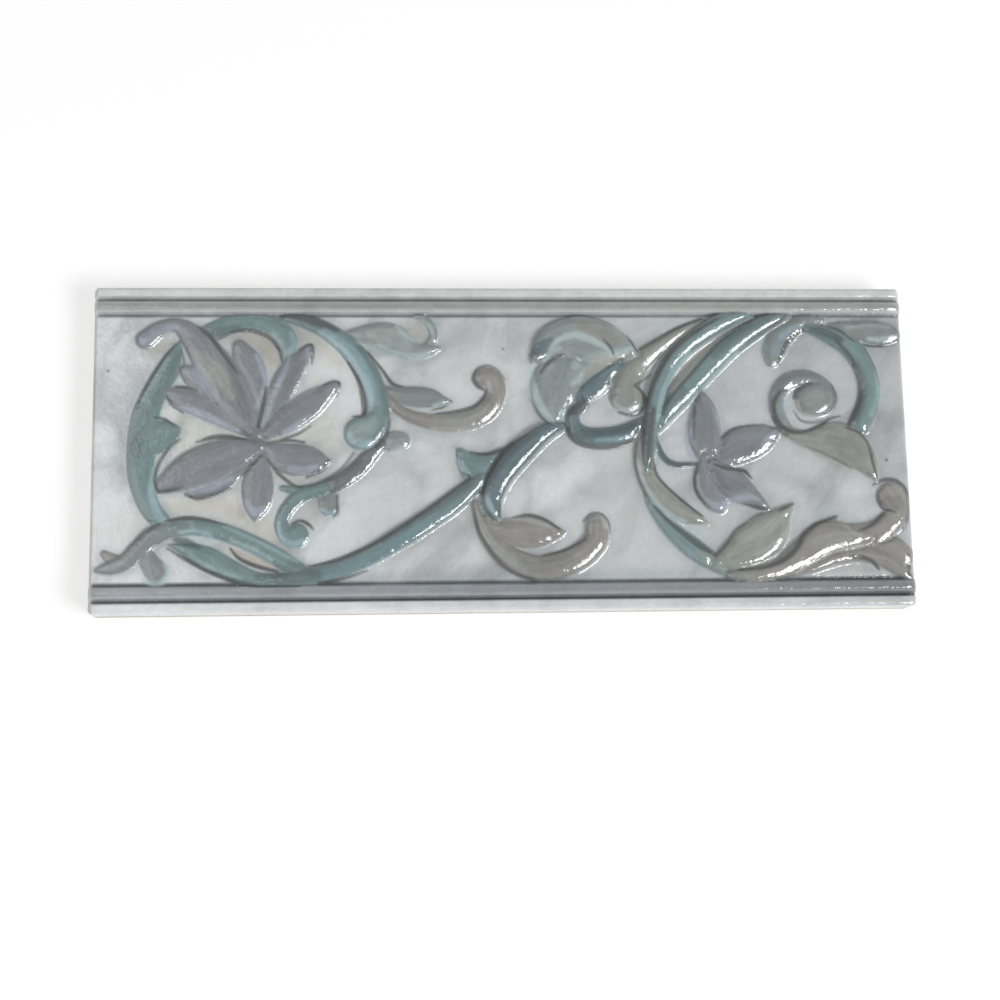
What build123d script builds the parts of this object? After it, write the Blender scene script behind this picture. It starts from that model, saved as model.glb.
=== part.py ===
from build123d import *
import os

# Border tile: a pressed ceramic strip with a bead between two grooves along each long edge, a keyed back
# and a scrolling stem, leaf and flower relief on its sunk ground. Millimetres, back on Z = 0, face up.

# Tile body
tile_length = 200.0
tile_width = 80.0
ground_height = 8.0  # back plane to the sunk ground of the ornament
corner_radius = 1.0  # upright corners
arris_radius = 0.8  # top edges of the long sides
end_radius = 1.2  # top edges of the two ends

# Border moulding, from each long edge inwards
rim_width = 2.4
rim_rise = 1.0  # above the ground
groove_width = 0.8
groove_depth = 0.4  # below the ground
bead_width = 3.3
bead_rise = 1.5  # above the ground

# Keying grooves in the back, which hold the adhesive
key_count = 8
key_width = 4.0
key_depth = 0.7
key_margin = 6.0  # plain land along each long edge

# Ornament, stretched to the tile's own field
end_gap = 0.2  # farthest leaf tip to the tile's end
groove_lap = 0.7  # farthest spine point past the field's edge, over the groove
lowest_crown = 1.2  # first layer's top above the ground
layer_step = 0.35  # each layer further up
relief_draft = 0.75  # crown outline inside the foot outline
foot_seat = 0.2  # feet start this far under the groove bottoms
tip_share = 0.18  # how far a pointed crown stops short of its foot's tip
least_crown = 0.3  # narrowest crown, as a share of its foot

field_half = tile_width / 2 - rim_width - bead_width - 2 * groove_width
foot_height = ground_height - groove_depth - foot_seat

# How a stroke ends
POINT = "point"
ROUND = "round"

# Strokes of the drawing: layer, end, then (x, y, half width) along the spine, first point at the root
left_flower = [
    (3, ROUND, [(-61, 4, 2), (-65.5, 11.5, 4.2), (-70.5, 20, 4.4), (-75.5, 27, 3), (-79.8, 30.3, 1.8),
                (-84, 29.6, 1.9), (-87.5, 26.5, 2.1)]),
    (2, POINT, [(-60, 5, 1.2), (-61.5, 13, 3.4), (-62.3, 20, 3.6), (-64.8, 26.4, 0)]),
    (1, POINT, [(-59, 5, 1.2), (-56, 11.5, 2.8), (-52.3, 18.5, 3.1), (-47.6, 25.6, 0)]),
    (2, POINT, [(-58, 3.5, 1.5), (-53, 6.8, 3.1), (-47.5, 10.8, 3.1), (-40.5, 16, 0)]),
    (1, POINT, [(-58.5, 0, 1.5), (-53.5, -2.6, 3.6), (-48.5, -3.2, 3.5), (-42.6, -3.5, 0)]),
    (2, POINT, [(-59.5, -1, 1), (-60, -8, 3.5), (-60.2, -13, 3.1), (-60.8, -18, 0)]),
    (3, POINT, [(-60, 0.5, 1.5), (-68, -2.2, 4.1), (-75.5, -5.3, 4.4), (-84.4, -10.2, 0)]),
    (1, POINT, [(-63, -4, 1.5), (-69.5, -8.4, 2.6), (-77.2, -11.6, 0)]),
    (1, POINT, [(-62, 3.5, 1.2), (-68.5, 8, 2.8), (-75.5, 11.5, 3.1), (-82.6, 13.6, 0)]),
]
left_scroll = [
    (0, POINT, [(-83, -18, 2.3), (-86, -14, 2.6), (-88, -7, 3.1), (-87.6, 2, 3.6), (-86.6, 10, 3.2),
                (-81.4, 20.5, 2.4), (-78.6, 27, 0)]),
    (1, POINT, [(-88, 0, 2.5), (-84.5, 2.6, 4), (-78.6, 5, 0)]),
    (0, POINT, [(-74, 28.2, 2), (-67, 30.7, 2.5), (-60.5, 31.2, 2.4), (-55.4, 29, 2.9), (-53.9, 21.9, 0)]),
    (2, ROUND, [(-53, 32, 1.2), (-43, 28.8, 2.1), (-35, 20.8, 2.9), (-31.6, 13, 2.8), (-31.4, 7.5, 2.9),
                (-34, 3.8, 3.8)]),
    (1, POINT, [(-38, 27.8, 1.6), (-32, 28, 2.9), (-27.5, 27, 3.4), (-22.5, 24, 2.2), (-15.6, 24.6, 0)]),
    (0, POINT, [(-19.4, 24.4, 1.2), (-17.4, 27.6, 1.1), (-18.6, 31, 1), (-22.6, 32.6, 0)]),
    (0, POINT, [(-30, 14, 1.2), (-24.5, 12.8, 2.3), (-19, 12.2, 2.5), (-13.2, 11.4, 0)]),
    (1, ROUND, [(-29.5, 12.6, 0.9), (-21.6, 6.7, 1.7), (-14, 5.8, 2.2), (-7, 7.2, 2.4), (-2.8, 11.6, 2.4),
                (-3.2, 16.4, 2.2)]),
    (1, ROUND, [(-31, 0.4, 1.2), (-27.4, 1.2, 2.5), (-25.2, 1.3, 2)]),
    (1, ROUND, [(-30.8, 0.8, 1.6), (-35.4, -4.6, 2.1), (-43.5, -10, 2), (-51, -12.9, 1.8),
                (-54.2, -18.4, 1.7), (-52.2, -22.2, 2)]),
    (0, ROUND, [(-43, -9.5, 1.6), (-43.3, -13, 2.2), (-42.8, -15.2, 2)]),
]
lower_stem = [
    (2, POINT, [(-50, -30.4, 2), (-56, -26.8, 2.4), (-65, -22.1, 2.2), (-75.5, -19, 2.1), (-84.4, -21, 2.4),
                (-91, -27.2, 2.1), (-97.8, -29.2, 0)]),
    (1, POINT, [(-91.5, -28, 1.6), (-94.6, -27, 1.2), (-97, -24.8, 0)]),
    (1, ROUND, [(-86.8, -24.6, 1.6), (-85, -28.4, 2.5), (-84, -30.4, 2.6)]),
    (1, POINT, [(-48, -31.6, 2.1), (-58, -32.3, 2.3), (-66, -30, 3), (-73.5, -26.6, 2.8), (-81.4, -23.8, 0)]),
    (3, POINT, [(-55, -32.4, 1.6), (-44, -30.8, 2.1), (-33, -26.3, 2.4), (-19, -17.8, 2.6),
                (-10.5, -11.6, 2.4), (-4.6, -7, 0)]),
    (1, POINT, [(-6.4, -9.4, 2.2), (-9, -5, 2.6), (-12.2, -0.8, 0)]),
    (2, POINT, [(-8.4, -6.4, 2), (-4.5, -3.8, 2), (0.2, -0.4, 0)]),
]
centre_scroll = [
    (4, POINT, [(14, 5, 0.9), (8.8, 2.8, 2.2), (3.6, -1.9, 2.8), (-1, -7.2, 2.8), (-3.6, -13, 2.4),
                (-2.4, -18.6, 0)]),
    (2, ROUND, [(-7.8, -14, 0.9), (-4.4, -23, 2), (0.8, -27.8, 2.8), (8.5, -30, 3), (16, -28.2, 3),
                (21, -23.8, 2.8), (21.8, -20, 2.6)]),
    (1, POINT, [(-5.4, -17.8, 1), (-0.5, -21, 3.2), (6, -21.3, 3.7), (14, -21.3, 0)]),
    (1, ROUND, [(12.8, 4.6, 1), (11.8, 10, 4.8), (12.4, 15, 6), (13.6, 18, 5.4)]),
    (2, POINT, [(7.2, 21.6, 1), (11.5, 26, 4), (17.5, 27.7, 5.3), (24, 26.2, 5.4), (29, 24.3, 3.2),
                (33.2, 23.1, 0)]),
    (0, POINT, [(19, 12.6, 1.6), (22.5, 15, 2.5), (26, 18.2, 1.7), (30.4, 21.8, 0)]),
    (2, POINT, [(34.5, 5.2, 2.2), (27, 2.6, 2.4), (20, 2.4, 2.2), (16.6, 5.2, 1.9), (19.8, 11.2, 0)]),
    (1, ROUND, [(50, 31.6, 0.8), (41, 26.8, 1.8), (33.4, 21, 2.7), (30.2, 15.6, 3.3), (30.2, 11.6, 3.8)]),
]
right_scroll = [
    (4, POINT, [(61.4, 33, 1), (48.5, 27, 2.3), (40.6, 18.4, 2.3), (36.6, 8.6, 2), (35, -3, 1.6),
                (36, -13.8, 1.6), (44.6, -24.6, 2.3), (53, -30, 0)]),
    (3, POINT, [(71, 33, 0.8), (61, 28.2, 2.3), (51.8, 20.5, 2.7), (43, 11.6, 2.6), (37, 3, 0)]),
    (2, POINT, [(33.4, 3, 0.9), (33.4, -4, 1.9), (37, -12, 2.6), (43, -17, 2.2), (49.4, -19.5, 0)]),
    (0, POINT, [(36.6, 2, 0.8), (39.2, -3.6, 0.8), (47, -4.6, 0)]),
    (2, ROUND, [(80, 32, 0.8), (73.5, 31, 1.9), (68.2, 26.8, 2.5), (66.5, 21.8, 1.6)]),
    (1, ROUND, [(76, 29, 0.8), (83.6, 26.8, 2.2), (89.6, 20.6, 2.7), (91.2, 13, 2.5), (88.4, 5.4, 2.6)]),
    (2, POINT, [(83, 29.4, 0.8), (89.5, 29, 2.6), (95, 28.6, 3), (99.8, 28, 0)]),
    (2, ROUND, [(71, 3.2, 0.8), (67.6, 8.6, 1.7), (69, 14.8, 2), (75.5, 17, 2.2), (79.9, 13, 2.3),
                (79, 9.4, 2.2)]),
    (1, POINT, [(68, 4, 1), (75, 1.2, 2.2), (82.5, 0.4, 5), (88, -3.2, 3.4), (91.6, -9.2, 0)]),
    (1, POINT, [(51, -30.2, 1), (57, -26.2, 4.2), (63, -21.8, 5), (70.4, -14.4, 0)]),
    (2, ROUND, [(53, -32.6, 0.9), (68, -29.6, 2.3), (76, -24.6, 3.6), (83.4, -24.2, 1.9), (91.2, -22.4, 2.4),
                (96, -17.4, 2.5)]),
    (3, POINT, [(72, -25.8, 2), (76.5, -22, 2.4), (81, -17.8, 0)]),
    (1, POINT, [(70, -31.8, 0.8), (77, -28.2, 1.7), (84, -26.6, 1.6), (91, -28, 1.8), (98.2, -33.4, 0)]),
]
right_flower = [
    (2, POINT, [(49.7, -4.6, 1.5), (49.2, 2, 3.9), (49.3, 8, 3.2), (48.8, 13.6, 0)]),
    (1, POINT, [(50.2, -4.2, 1.5), (56, -0.8, 4.1), (62, 1.2, 3.8), (68, 3.5, 0)]),
    (2, POINT, [(49.4, -3.4, 1.5), (50, -9, 3.7), (51.4, -13.4, 2.9), (52.6, -16.8, 0)]),
    (3, POINT, [(50.6, -5, 1.5), (55.5, -9.8, 3.5), (60, -13, 2.1), (65, -16.2, 0)]),
]
strokes = left_flower + left_scroll + lower_stem + centre_scroll + right_scroll + right_flower

# Round bosses that end the tight curls: layer, x, y, radius
bosses = [
    (2, -35, 3.4, 4.2),
    (2, -5.2, 17.4, 2.5),
    (2, -50.8, -21.6, 3.2),
    (3, 76.8, 11.4, 4.3),
    (3, 95.2, -12.6, 3.4),
]

# Stretch of the drawing: its farthest points keep their place at the tile's ends and grooves
reach_x = max(abs(x) for layer, end, spine in strokes for x, y, half_width in spine)
reach_y = max(abs(y) for layer, end, spine in strokes for x, y, half_width in spine)
stretch_x = (tile_length / 2 - end_gap) / reach_x
stretch_y = (field_half + groove_lap) / reach_y
stretch_width = min(stretch_x, stretch_y)


def on_field(x, y):
    """A point of the drawing, stretched to the tile's field."""
    return Vector(x * stretch_x, y * stretch_y)


def crown_height(layer):
    """Height of a stroke's top: later layers lie over earlier ones where they cross."""
    return ground_height + lowest_crown + layer * layer_step


def crown_width(half_width, inset):
    """Half width of a stroke less the inset, never quite closing."""
    return max(half_width - inset, least_crown * half_width)


def stroke_outline(end, spine_points, inset):
    """Closed outline of one stroke: its spine widened to each side, less the inset."""
    centres = [on_field(x, y) for x, y, half_width in spine_points]
    widths = [stretch_width * crown_width(half_width, inset) for x, y, half_width in spine_points]
    spine = Spline(*centres, mode=Mode.PRIVATE)
    stations = [spine.param_at_point(centre) for centre in centres]
    across = [spine.tangent_at(station).rotate(Axis.Z, 90) for station in stations]
    left = [centre + side * width for centre, side, width in zip(centres, across, widths)]
    right = [centre - side * width for centre, side, width in zip(centres, across, widths)]
    forward = spine.tangent_at(1)
    if end == POINT:
        tip = centres[-1] + (centres[-2] - centres[-1]) * (tip_share if inset else 0)
        left[-1] = tip
        right[-1] = tip
    with BuildLine() as outline:
        Line(right[0], left[0])
        Spline(*left)
        if end == ROUND:
            ThreePointArc(left[-1], centres[-1] + forward * widths[-1], right[-1])
        Spline(*right)
    make_face(outline.edges())


def boss_outline(x, y, radius, inset):
    """Circle of one boss, less the inset."""
    with Locations(on_field(x, y)):
        Circle(stretch_width * (radius - inset))


def raised(layer, draw_outline, *form):
    """A drafted relief form, from a foot under the ground up to its crown."""
    with BuildSketch(Plane.XY.offset(foot_height)) as foot:
        draw_outline(*form, inset=0)
    with BuildSketch(Plane.XY.offset(crown_height(layer))) as crown:
        draw_outline(*form, inset=relief_draft)
    return loft([foot.sketch, crown.sketch], ruled=True, mode=Mode.PRIVATE)


with BuildPart() as border_tile:
    # Moulded section, drawn for one half and mirrored
    with BuildSketch(Plane.YZ):
        edge = tile_width / 2
        rim_inner = edge - rim_width
        bead_outer = rim_inner - groove_width
        bead_inner = bead_outer - bead_width
        rim_height = ground_height + rim_rise
        groove_height = ground_height - groove_depth
        with BuildLine():
            Polyline((0, ground_height), (0, 0), (edge, 0), (edge, rim_height - arris_radius))
            RadiusArc((edge, rim_height - arris_radius), (edge - arris_radius, rim_height), -arris_radius)
            Line((edge - arris_radius, rim_height), (rim_inner, rim_height))
            ThreePointArc((rim_inner, rim_height), (rim_inner - groove_width / 2, groove_height),
                          (bead_outer, ground_height))
            ThreePointArc((bead_outer, ground_height),
                          (bead_outer - bead_width / 2, ground_height + bead_rise),
                          (bead_inner, ground_height))
            ThreePointArc((bead_inner, ground_height), (bead_inner - groove_width / 2, groove_height),
                          (field_half, ground_height))
            Line((field_half, ground_height), (0, ground_height))
        make_face()
        mirror(about=Plane.YZ)
        key_pitch = (tile_width - 2 * key_margin - key_width) / (key_count - 1)
        with GridLocations(key_pitch, 0, key_count, 1):
            Rectangle(key_width, 2 * key_depth, mode=Mode.SUBTRACT)
    extrude(amount=tile_length / 2, both=True)
    with BuildSketch():
        RectangleRounded(tile_length, tile_width, corner_radius)
    extrude(amount=ground_height + bead_rise, mode=Mode.INTERSECT)

    # Ornament, all strokes and bosses joined to the tile at once
    relief = [raised(layer, stroke_outline, end, spine) for layer, end, spine in strokes]
    relief += [raised(layer, boss_outline, x, y, radius) for layer, x, y, radius in bosses]
    add(relief)

    # Rounded top edge of each end, cut across tile and ornament alike
    with BuildSketch(Plane.XZ):
        end_x = tile_length / 2
        top = crown_height(max(layer for layer, end, spine in strokes)) + end_radius
        with BuildLine():
            RadiusArc((end_x - end_radius, rim_height), (end_x, rim_height - end_radius), end_radius)
            Polyline((end_x, rim_height - end_radius), (end_x, top), (end_x - end_radius, top),
                     (end_x - end_radius, rim_height))
        make_face()
        mirror(about=Plane.YZ)
    extrude(amount=tile_width / 2, both=True, mode=Mode.SUBTRACT)

border_tile.part.label = "border_tile"
os.makedirs("parts", exist_ok=True)
export_step(border_tile.part, "parts/border_tile.step")
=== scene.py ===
# %% [markdown]
# # A glazed relief border tile
#
# The tile is one pressed and fired strip of clay. A mould gives it a bead between two grooves along
# each long edge, a keyed back, and a scrolling stem with leaves and two flowers. A painter then colours
# the relief by hand with thin grey, blue-green and lilac washes, and a clear gloss glaze covers the
# face. This lesson builds it in that order: the moulded strip, the raised scroll, the painting, the
# glaze, and last the studio.

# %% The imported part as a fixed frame
import math
from collections import namedtuple

import bmesh
import bpy
import numpy as np
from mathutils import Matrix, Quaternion, Vector


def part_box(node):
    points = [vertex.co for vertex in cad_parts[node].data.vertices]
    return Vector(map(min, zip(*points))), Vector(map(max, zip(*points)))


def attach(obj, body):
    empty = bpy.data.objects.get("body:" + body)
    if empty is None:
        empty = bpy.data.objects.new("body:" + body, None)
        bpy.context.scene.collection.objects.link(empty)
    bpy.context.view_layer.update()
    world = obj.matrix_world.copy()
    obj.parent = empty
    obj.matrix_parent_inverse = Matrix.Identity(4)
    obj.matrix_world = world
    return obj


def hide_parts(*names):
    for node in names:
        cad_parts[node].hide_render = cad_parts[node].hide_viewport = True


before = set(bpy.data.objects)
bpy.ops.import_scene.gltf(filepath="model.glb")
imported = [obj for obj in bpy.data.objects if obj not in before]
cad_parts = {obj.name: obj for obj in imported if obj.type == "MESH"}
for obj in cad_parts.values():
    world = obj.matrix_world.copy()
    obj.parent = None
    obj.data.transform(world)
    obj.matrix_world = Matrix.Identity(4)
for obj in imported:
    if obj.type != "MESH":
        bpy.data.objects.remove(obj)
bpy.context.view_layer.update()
MM = 0.001
tile_low, tile_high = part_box("border_tile")
tile_length = (tile_high.x - tile_low.x) / MM
tile_width = (tile_high.y - tile_low.y) / MM
tile_height = (tile_high.z - tile_low.z) / MM
half_length = tile_length / 2
half_width = tile_width / 2
print(f"tile {tile_length:.1f} x {tile_width:.1f} x {tile_height:.1f} mm")

# %% [markdown]
# ## The moulded section
#
# Seen from its end the strip has a flat rim, a groove, a round bead, a second groove and the sunk
# ground, the same on both sides, with keying grooves in the back. A section that stays the same along a
# straight length is what a sweep is for, so here it is drawn once as a closed line. The points on the
# face stand close together, because the scroll is raised out of that surface afterwards.

# %% Heights across the face
ground_height = 8.0
rim_rise = 1.0
rim_width = 2.4
groove_width = 0.8
groove_depth = 0.4
bead_width = 3.3
bead_rise = 1.5
arris_radius = 0.8
outer_groove = half_width - rim_width - groove_width / 2
bead_centre = outer_groove - groove_width / 2 - bead_width / 2
inner_groove = bead_centre - bead_width / 2 - groove_width / 2
field_half = inner_groove - groove_width / 2


def smoothstep(start, end, x):
    """0 before start, 1 after end, and a smooth rise between."""
    t = np.clip((x - start) / (end - start), 0, 1)
    return t * t * (3 - 2 * t)


def moulding_height(y):
    """Height of the plain face above the back at a distance y from the tile's middle line."""
    across = np.abs(y)
    rim = rim_rise * smoothstep(rim_width + groove_width * 0.4, rim_width - 0.3, half_width - across)
    bead_share = np.clip(np.abs(across - bead_centre) / (bead_width / 2), 0, 1)
    bead = bead_rise * np.sqrt(1 - bead_share ** 2)
    groove = np.maximum(1 - np.abs(across - outer_groove) / (groove_width * 0.7),
                        1 - np.abs(across - inner_groove) / (groove_width * 0.7))
    sunk = groove_depth * smoothstep(0, 1, groove)
    over_arris = np.clip(across - (half_width - arris_radius), 0, arris_radius)
    arris = arris_radius - np.sqrt(arris_radius ** 2 - over_arris ** 2)
    return ground_height + rim + bead - sunk - arris


print("heights at the rim, bead, groove and ground:",
      [round(float(moulding_height(y)), 2) for y in (half_width - 1.5, bead_centre, inner_groove, 0)])

# %% The closed section line
field_pitch = 0.38
border_pitch = 0.25
key_count = 8
key_width = 4.0
key_depth = 0.7
key_margin = 6.0
key_flank = 0.3  # slope of a key's sides
side_step = 3.6  # how far the glaze runs down the sides

field_y = np.linspace(-field_half, field_half, round(2 * field_half / field_pitch) + 1)
border_steps = round((half_width - arris_radius - field_half) / border_pitch)
border_y = np.linspace(field_half, half_width - arris_radius, border_steps + 1)[1:]
arris_y = half_width - arris_radius + arris_radius * np.sin(np.radians([25, 45, 65, 80, 90]))
face_y = np.concatenate([-arris_y[::-1], -border_y[::-1], field_y, border_y, arris_y])
face_count = len(face_y)

key_pitch = (tile_width - 2 * key_margin - key_width) / (key_count - 1)
back_points = [(half_width, 0.0)]
for key in reversed(range(key_count)):
    centre = (key - (key_count - 1) / 2) * key_pitch
    back_points += [(centre + key_width / 2, 0.0), (centre + key_width / 2 - key_flank, key_depth),
                    (centre - key_width / 2 + key_flank, key_depth), (centre - key_width / 2, 0.0)]
back_points.append((-half_width, 0.0))

glaze_edge = float(moulding_height(half_width)) - side_step
section = [(y, float(moulding_height(y))) for y in face_y]
section += [(half_width, glaze_edge)] + back_points + [(-half_width, glaze_edge)]
section_mesh = bpy.data.meshes.new("section")
section_edges = [(i, (i + 1) % len(section)) for i in range(len(section))]
section_mesh.from_pydata([(y * MM, -z * MM, 0) for y, z in section], section_edges, [])
strip = bpy.data.objects.new("border_strip", section_mesh)
bpy.context.scene.collection.objects.link(strip)
print("section of", len(section), "points,", face_count, "of them on the face")

# %% [markdown]
# ## Sweeping the section
#
# A Geometry Nodes tree does what a long die does with soft clay: Mesh to Curve turns the drawn line
# into a profile, Curve Line is the tile's length, Resample Curve sets how many cross-rows the face
# gets, and Curve to Mesh sweeps the profile and caps it. Length, rows and finish are named inputs, so a
# longer tile is one number.

# %% The sweep as a node tree
glaze = bpy.data.materials.new("painted_glaze")
sweep = bpy.data.node_groups.new("swept_strip", "GeometryNodeTree")
sweep.interface.new_socket("Section", in_out="INPUT", socket_type="NodeSocketGeometry")
length_input = sweep.interface.new_socket("Length", in_out="INPUT", socket_type="NodeSocketFloat")
rows_input = sweep.interface.new_socket("Rows", in_out="INPUT", socket_type="NodeSocketInt")
finish_input = sweep.interface.new_socket("Finish", in_out="INPUT", socket_type="NodeSocketMaterial")
sweep.interface.new_socket("Strip", in_out="OUTPUT", socket_type="NodeSocketGeometry")


def sweep_node(kind, **inputs):
    """One node of the sweep, with each input linked to a socket or set to a value."""
    node = sweep.nodes.new(kind)
    for name, value in inputs.items():
        socket = node.inputs[name.replace("_", " ")]
        if isinstance(value, bpy.types.NodeSocket):
            sweep.links.new(value, socket)
        else:
            socket.default_value = value
    return node


entry = sweep_node("NodeGroupInput").outputs
profile = sweep_node("GeometryNodeMeshToCurve", Mesh=entry["Section"]).outputs[0]
far_end = sweep_node("ShaderNodeCombineXYZ", X=entry["Length"]).outputs[0]
line = sweep_node("GeometryNodeCurvePrimitiveLine", Start=far_end, End=(0, 0, 0)).outputs[0]
rows = sweep_node("GeometryNodeResampleCurve", Curve=line, Count=entry["Rows"]).outputs[0]
solid = sweep_node("GeometryNodeCurveToMesh", Curve=rows, Profile_Curve=profile, Fill_Caps=True).outputs[0]
realised = sweep_node("GeometryNodeRealizeInstances", Geometry=solid).outputs[0]
finished = sweep_node("GeometryNodeSetMaterial", Geometry=realised, Material=entry["Finish"]).outputs[0]
sweep_node("NodeGroupOutput", Strip=finished)

row_count = 501
modifier = strip.modifiers.new("sweep", "NODES")
modifier.node_group = sweep
modifier[length_input.identifier] = tile_length * MM
modifier[rows_input.identifier] = row_count
modifier[finish_input.identifier] = glaze
tile_mesh = bpy.data.meshes.new_from_object(strip.evaluated_get(bpy.context.evaluated_depsgraph_get()))
bpy.data.objects.remove(strip)
print("swept strip:", len(tile_mesh.vertices), "vertices,", len(tile_mesh.polygons), "faces")

# %% The swept points as rows and columns
place = np.zeros(len(tile_mesh.vertices) * 3, np.float32)
tile_mesh.vertices.foreach_get("co", place)
place = place.reshape(row_count, len(section), 3).astype(float) / MM
place[:, :, 0] -= half_length
face = place[:, :face_count]
print("first row at x =", place[0, 0, 0], "face from y =", face[0, 0, 1], "to", face[0, -1, 1])

# %% [markdown]
# ## The drawing
#
# Every stem, leaf and petal is one brush-like stroke: a spine with a half width at each point, pointed
# where the width runs out and round where it stays wide. The points were read from the face, in
# millimetres from the tile's middle, and the layer says what lies over what where strokes cross. One
# list of strokes then serves twice, for raising the relief and for painting it.

# %% Paints and brushes
Paint = namedtuple("Paint", "body pale deep")
Stroke = namedtuple("Stroke", "paint layer points press")
Touch = namedtuple("Touch", "colour strength soft points")


def tone(red, green, blue):
    """A paint colour from 0 to 255 steps, as an array from 0 to 1."""
    return np.array([red, green, blue]) / 255


TEAL = Paint(tone(114, 135, 136), tone(153, 178, 185), tone(84, 98, 98))
SLATE = Paint(tone(96, 114, 119), tone(138, 162, 169), tone(72, 84, 87))
LILAC = Paint(tone(128, 132, 136), tone(156, 165, 177), tone(102, 105, 108))
TAUPE = Paint(tone(139, 138, 133), tone(172, 174, 172), tone(98, 98, 95))
OLIVE = Paint(tone(141, 145, 138), tone(172, 179, 176), tone(102, 106, 101))
SAGE = Paint(tone(140, 149, 147), tone(174, 191, 195), tone(104, 114, 113))
SMOKE = Paint(tone(127, 135, 133), tone(160, 170, 172), tone(96, 103, 102))
INK = Paint(tone(107, 113, 114), tone(145, 157, 161), tone(80, 84, 84))
DARK = tone(80, 83, 83)
BEIGE = tone(176, 172, 162)
strokes = []
touches = []
washes = []


def stroke(paint, layer, *points, press=1.0):
    """A raised and painted stroke of the ornament; a press below 1 makes it flatter."""
    strokes.append(Stroke(paint, layer, points, press))


def wash(colour, strength, soft, *points):
    """A thin cloud of colour on the ground, under the strokes."""
    washes.append(Touch(colour, strength, soft, points))


def dark(*points, strength=0.8):
    """A dark brush line along an edge or a fold."""
    touches.append(Touch(DARK, strength, 0.32, points))


def pale(paint, *points, strength=0.75):
    """A pale, softer line of the same family of colour."""
    touches.append(Touch(paint.pale, strength, 0.55, points))


def patch(colour, strength, *points):
    """A soft-edged patch of colour."""
    touches.append(Touch(colour, strength, 0.7, points))


# %% Clouds on the ground
CREAM = tone(188, 185, 172)
MIST = tone(160, 167, 171)
LIGHT = tone(212, 216, 217)
wash(CREAM, 0.45, 9, (-76, 2, 5), (-60, 4, 13), (-50, 2, 6))
wash(CREAM, 0.7, 2.5, (-66, 27.4, 0.8), (-60, 26.6, 2), (-56.6, 20, 1.4))
wash(CREAM, 0.6, 2.5, (-50, 27.6, 0.8), (-46, 26.4, 1.6), (-41, 21, 1.2))
wash(CREAM, 0.7, 2.5, (-82, -14.5, 0.8), (-72, -14, 1.8), (-66, -15.5, 1.6), (-58, -20, 2),
     (-55, -23.5, 1.4))
wash(CREAM, 0.6, 2, (-25, 29.6, 1), (-21, 29, 1.4))
wash(CREAM, 0.5, 2.5, (-86, 24, 0.8), (-81.4, 25.6, 1.4), (-78.6, 23, 0.8))
wash(CREAM, 0.4, 2.5, (-48, -6, 1), (-46, -12, 1.6), (-46.6, -17, 1))
wash(MIST, 0.6, 4, (-93, -8, 1), (-92.6, 6, 1.4), (-88.6, 17, 1))
wash(LIGHT, 0.7, 5, (-96, 26, 2), (-97, 0, 1.5), (-96, -16, 2))
wash(MIST, 0.2, 4, (-14, 31, 1), (-8, 29, 2.4), (-1, 24, 1.5))
wash(LIGHT, 0.6, 4, (-22, 0, 1.5), (-12, 1, 2), (-2, 2, 1))
wash(LIGHT, 0.6, 4, (-30, -31, 1), (-18, -27, 2.4), (-9, -24, 1.4))
wash(MIST, 0.7, 3, (-38, -32, 0.6), (-10, -32, 0.8), (20, -32, 0.8), (48, -31.6, 0.6))
wash(LIGHT, 0.5, 4, (4, -8, 2), (10, -12, 3.4), (18, -5, 2))
wash(MIST, 0.30, 4, (14, -16, 1), (22, -10, 2), (30, -6, 1.4))
wash(MIST, 0.36, 3.5, (26, -26, 1), (32, -16, 1.4), (31, -8, 1))
wash(MIST, 0.36, 3, (34, 30.6, 0.8), (42, 31.6, 1), (50, 32, 0.6))
wash(MIST, 0.36, 4, (92, 8, 1.4), (95, 16, 1.6), (96, 2, 1.4))
wash(tone(150, 155, 158), 0.2, 5, (58, -9, 1.5), (70, -9, 2.5), (78, -13, 2.5))
wash(LIGHT, 0.5, 4, (82, -9, 1.4), (86, -13, 2.6), (88, -17, 1.4))
wash(LIGHT, 0.4, 3, (66, -10, 1.4), (72, -14, 2))
wash(MIST, 0.5, 2.5, (76, -16, 0.6), (79.6, -13.6, 1), (81, -9, 0.6))
print(len(washes), "clouds on the ground")

# %% Four specks in the glaze
for speck_place in ((94.4, -3.8, 0.3), (-96.4, 19.2, 0.22), (-0.3, 24.6, 0.15), (-77, 33.8, 0.22)):
    dark(speck_place, (speck_place[0] + 0.1, speck_place[1], speck_place[2]), strength=0.8)
print(len(touches), "specks in the glaze")

# %% The left flower
stroke(LILAC, 3, (-61, 4, 2), (-65.5, 11.5, 4.2), (-70.5, 20, 4.5), (-75.5, 27, 3.2),
       (-79.6, 30.4, 1.8), (-84, 29.6, 1.9), (-87.5, 26.9, 2.3))
stroke(LILAC, 2, (-66, 10, 1.5), (-71, 14.6, 2.8), (-75, 17.4, 3), (-78.4, 19.4, 1))
stroke(LILAC, 2, (-60, 5, 1.2), (-61.4, 13, 3.4), (-62.4, 19.6, 3.9), (-64.6, 25, 1.9))
stroke(LILAC, 1, (-59, 5, 1.2), (-56, 11.5, 2.8), (-52.3, 18.5, 3.2), (-48.4, 24, 1.3),
       (-47.4, 25.6, 0.2))
stroke(LILAC, 2, (-58, 3.5, 1.5), (-53, 6.8, 3.2), (-47.5, 10.8, 3.2), (-42.4, 14.7, 1.4),
       (-40.4, 16, 0.2))
stroke(LILAC, 1, (-58.5, 0, 1.5), (-53.5, -2.6, 3.7), (-48.5, -3.2, 3.7), (-44.4, -3.4, 1.4),
       (-42.6, -3.5, 0.2))
stroke(LILAC, 2, (-59.5, -1, 1), (-60, -8, 3.6), (-60.2, -13, 3.3), (-60.8, -18, 0.3))
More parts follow.
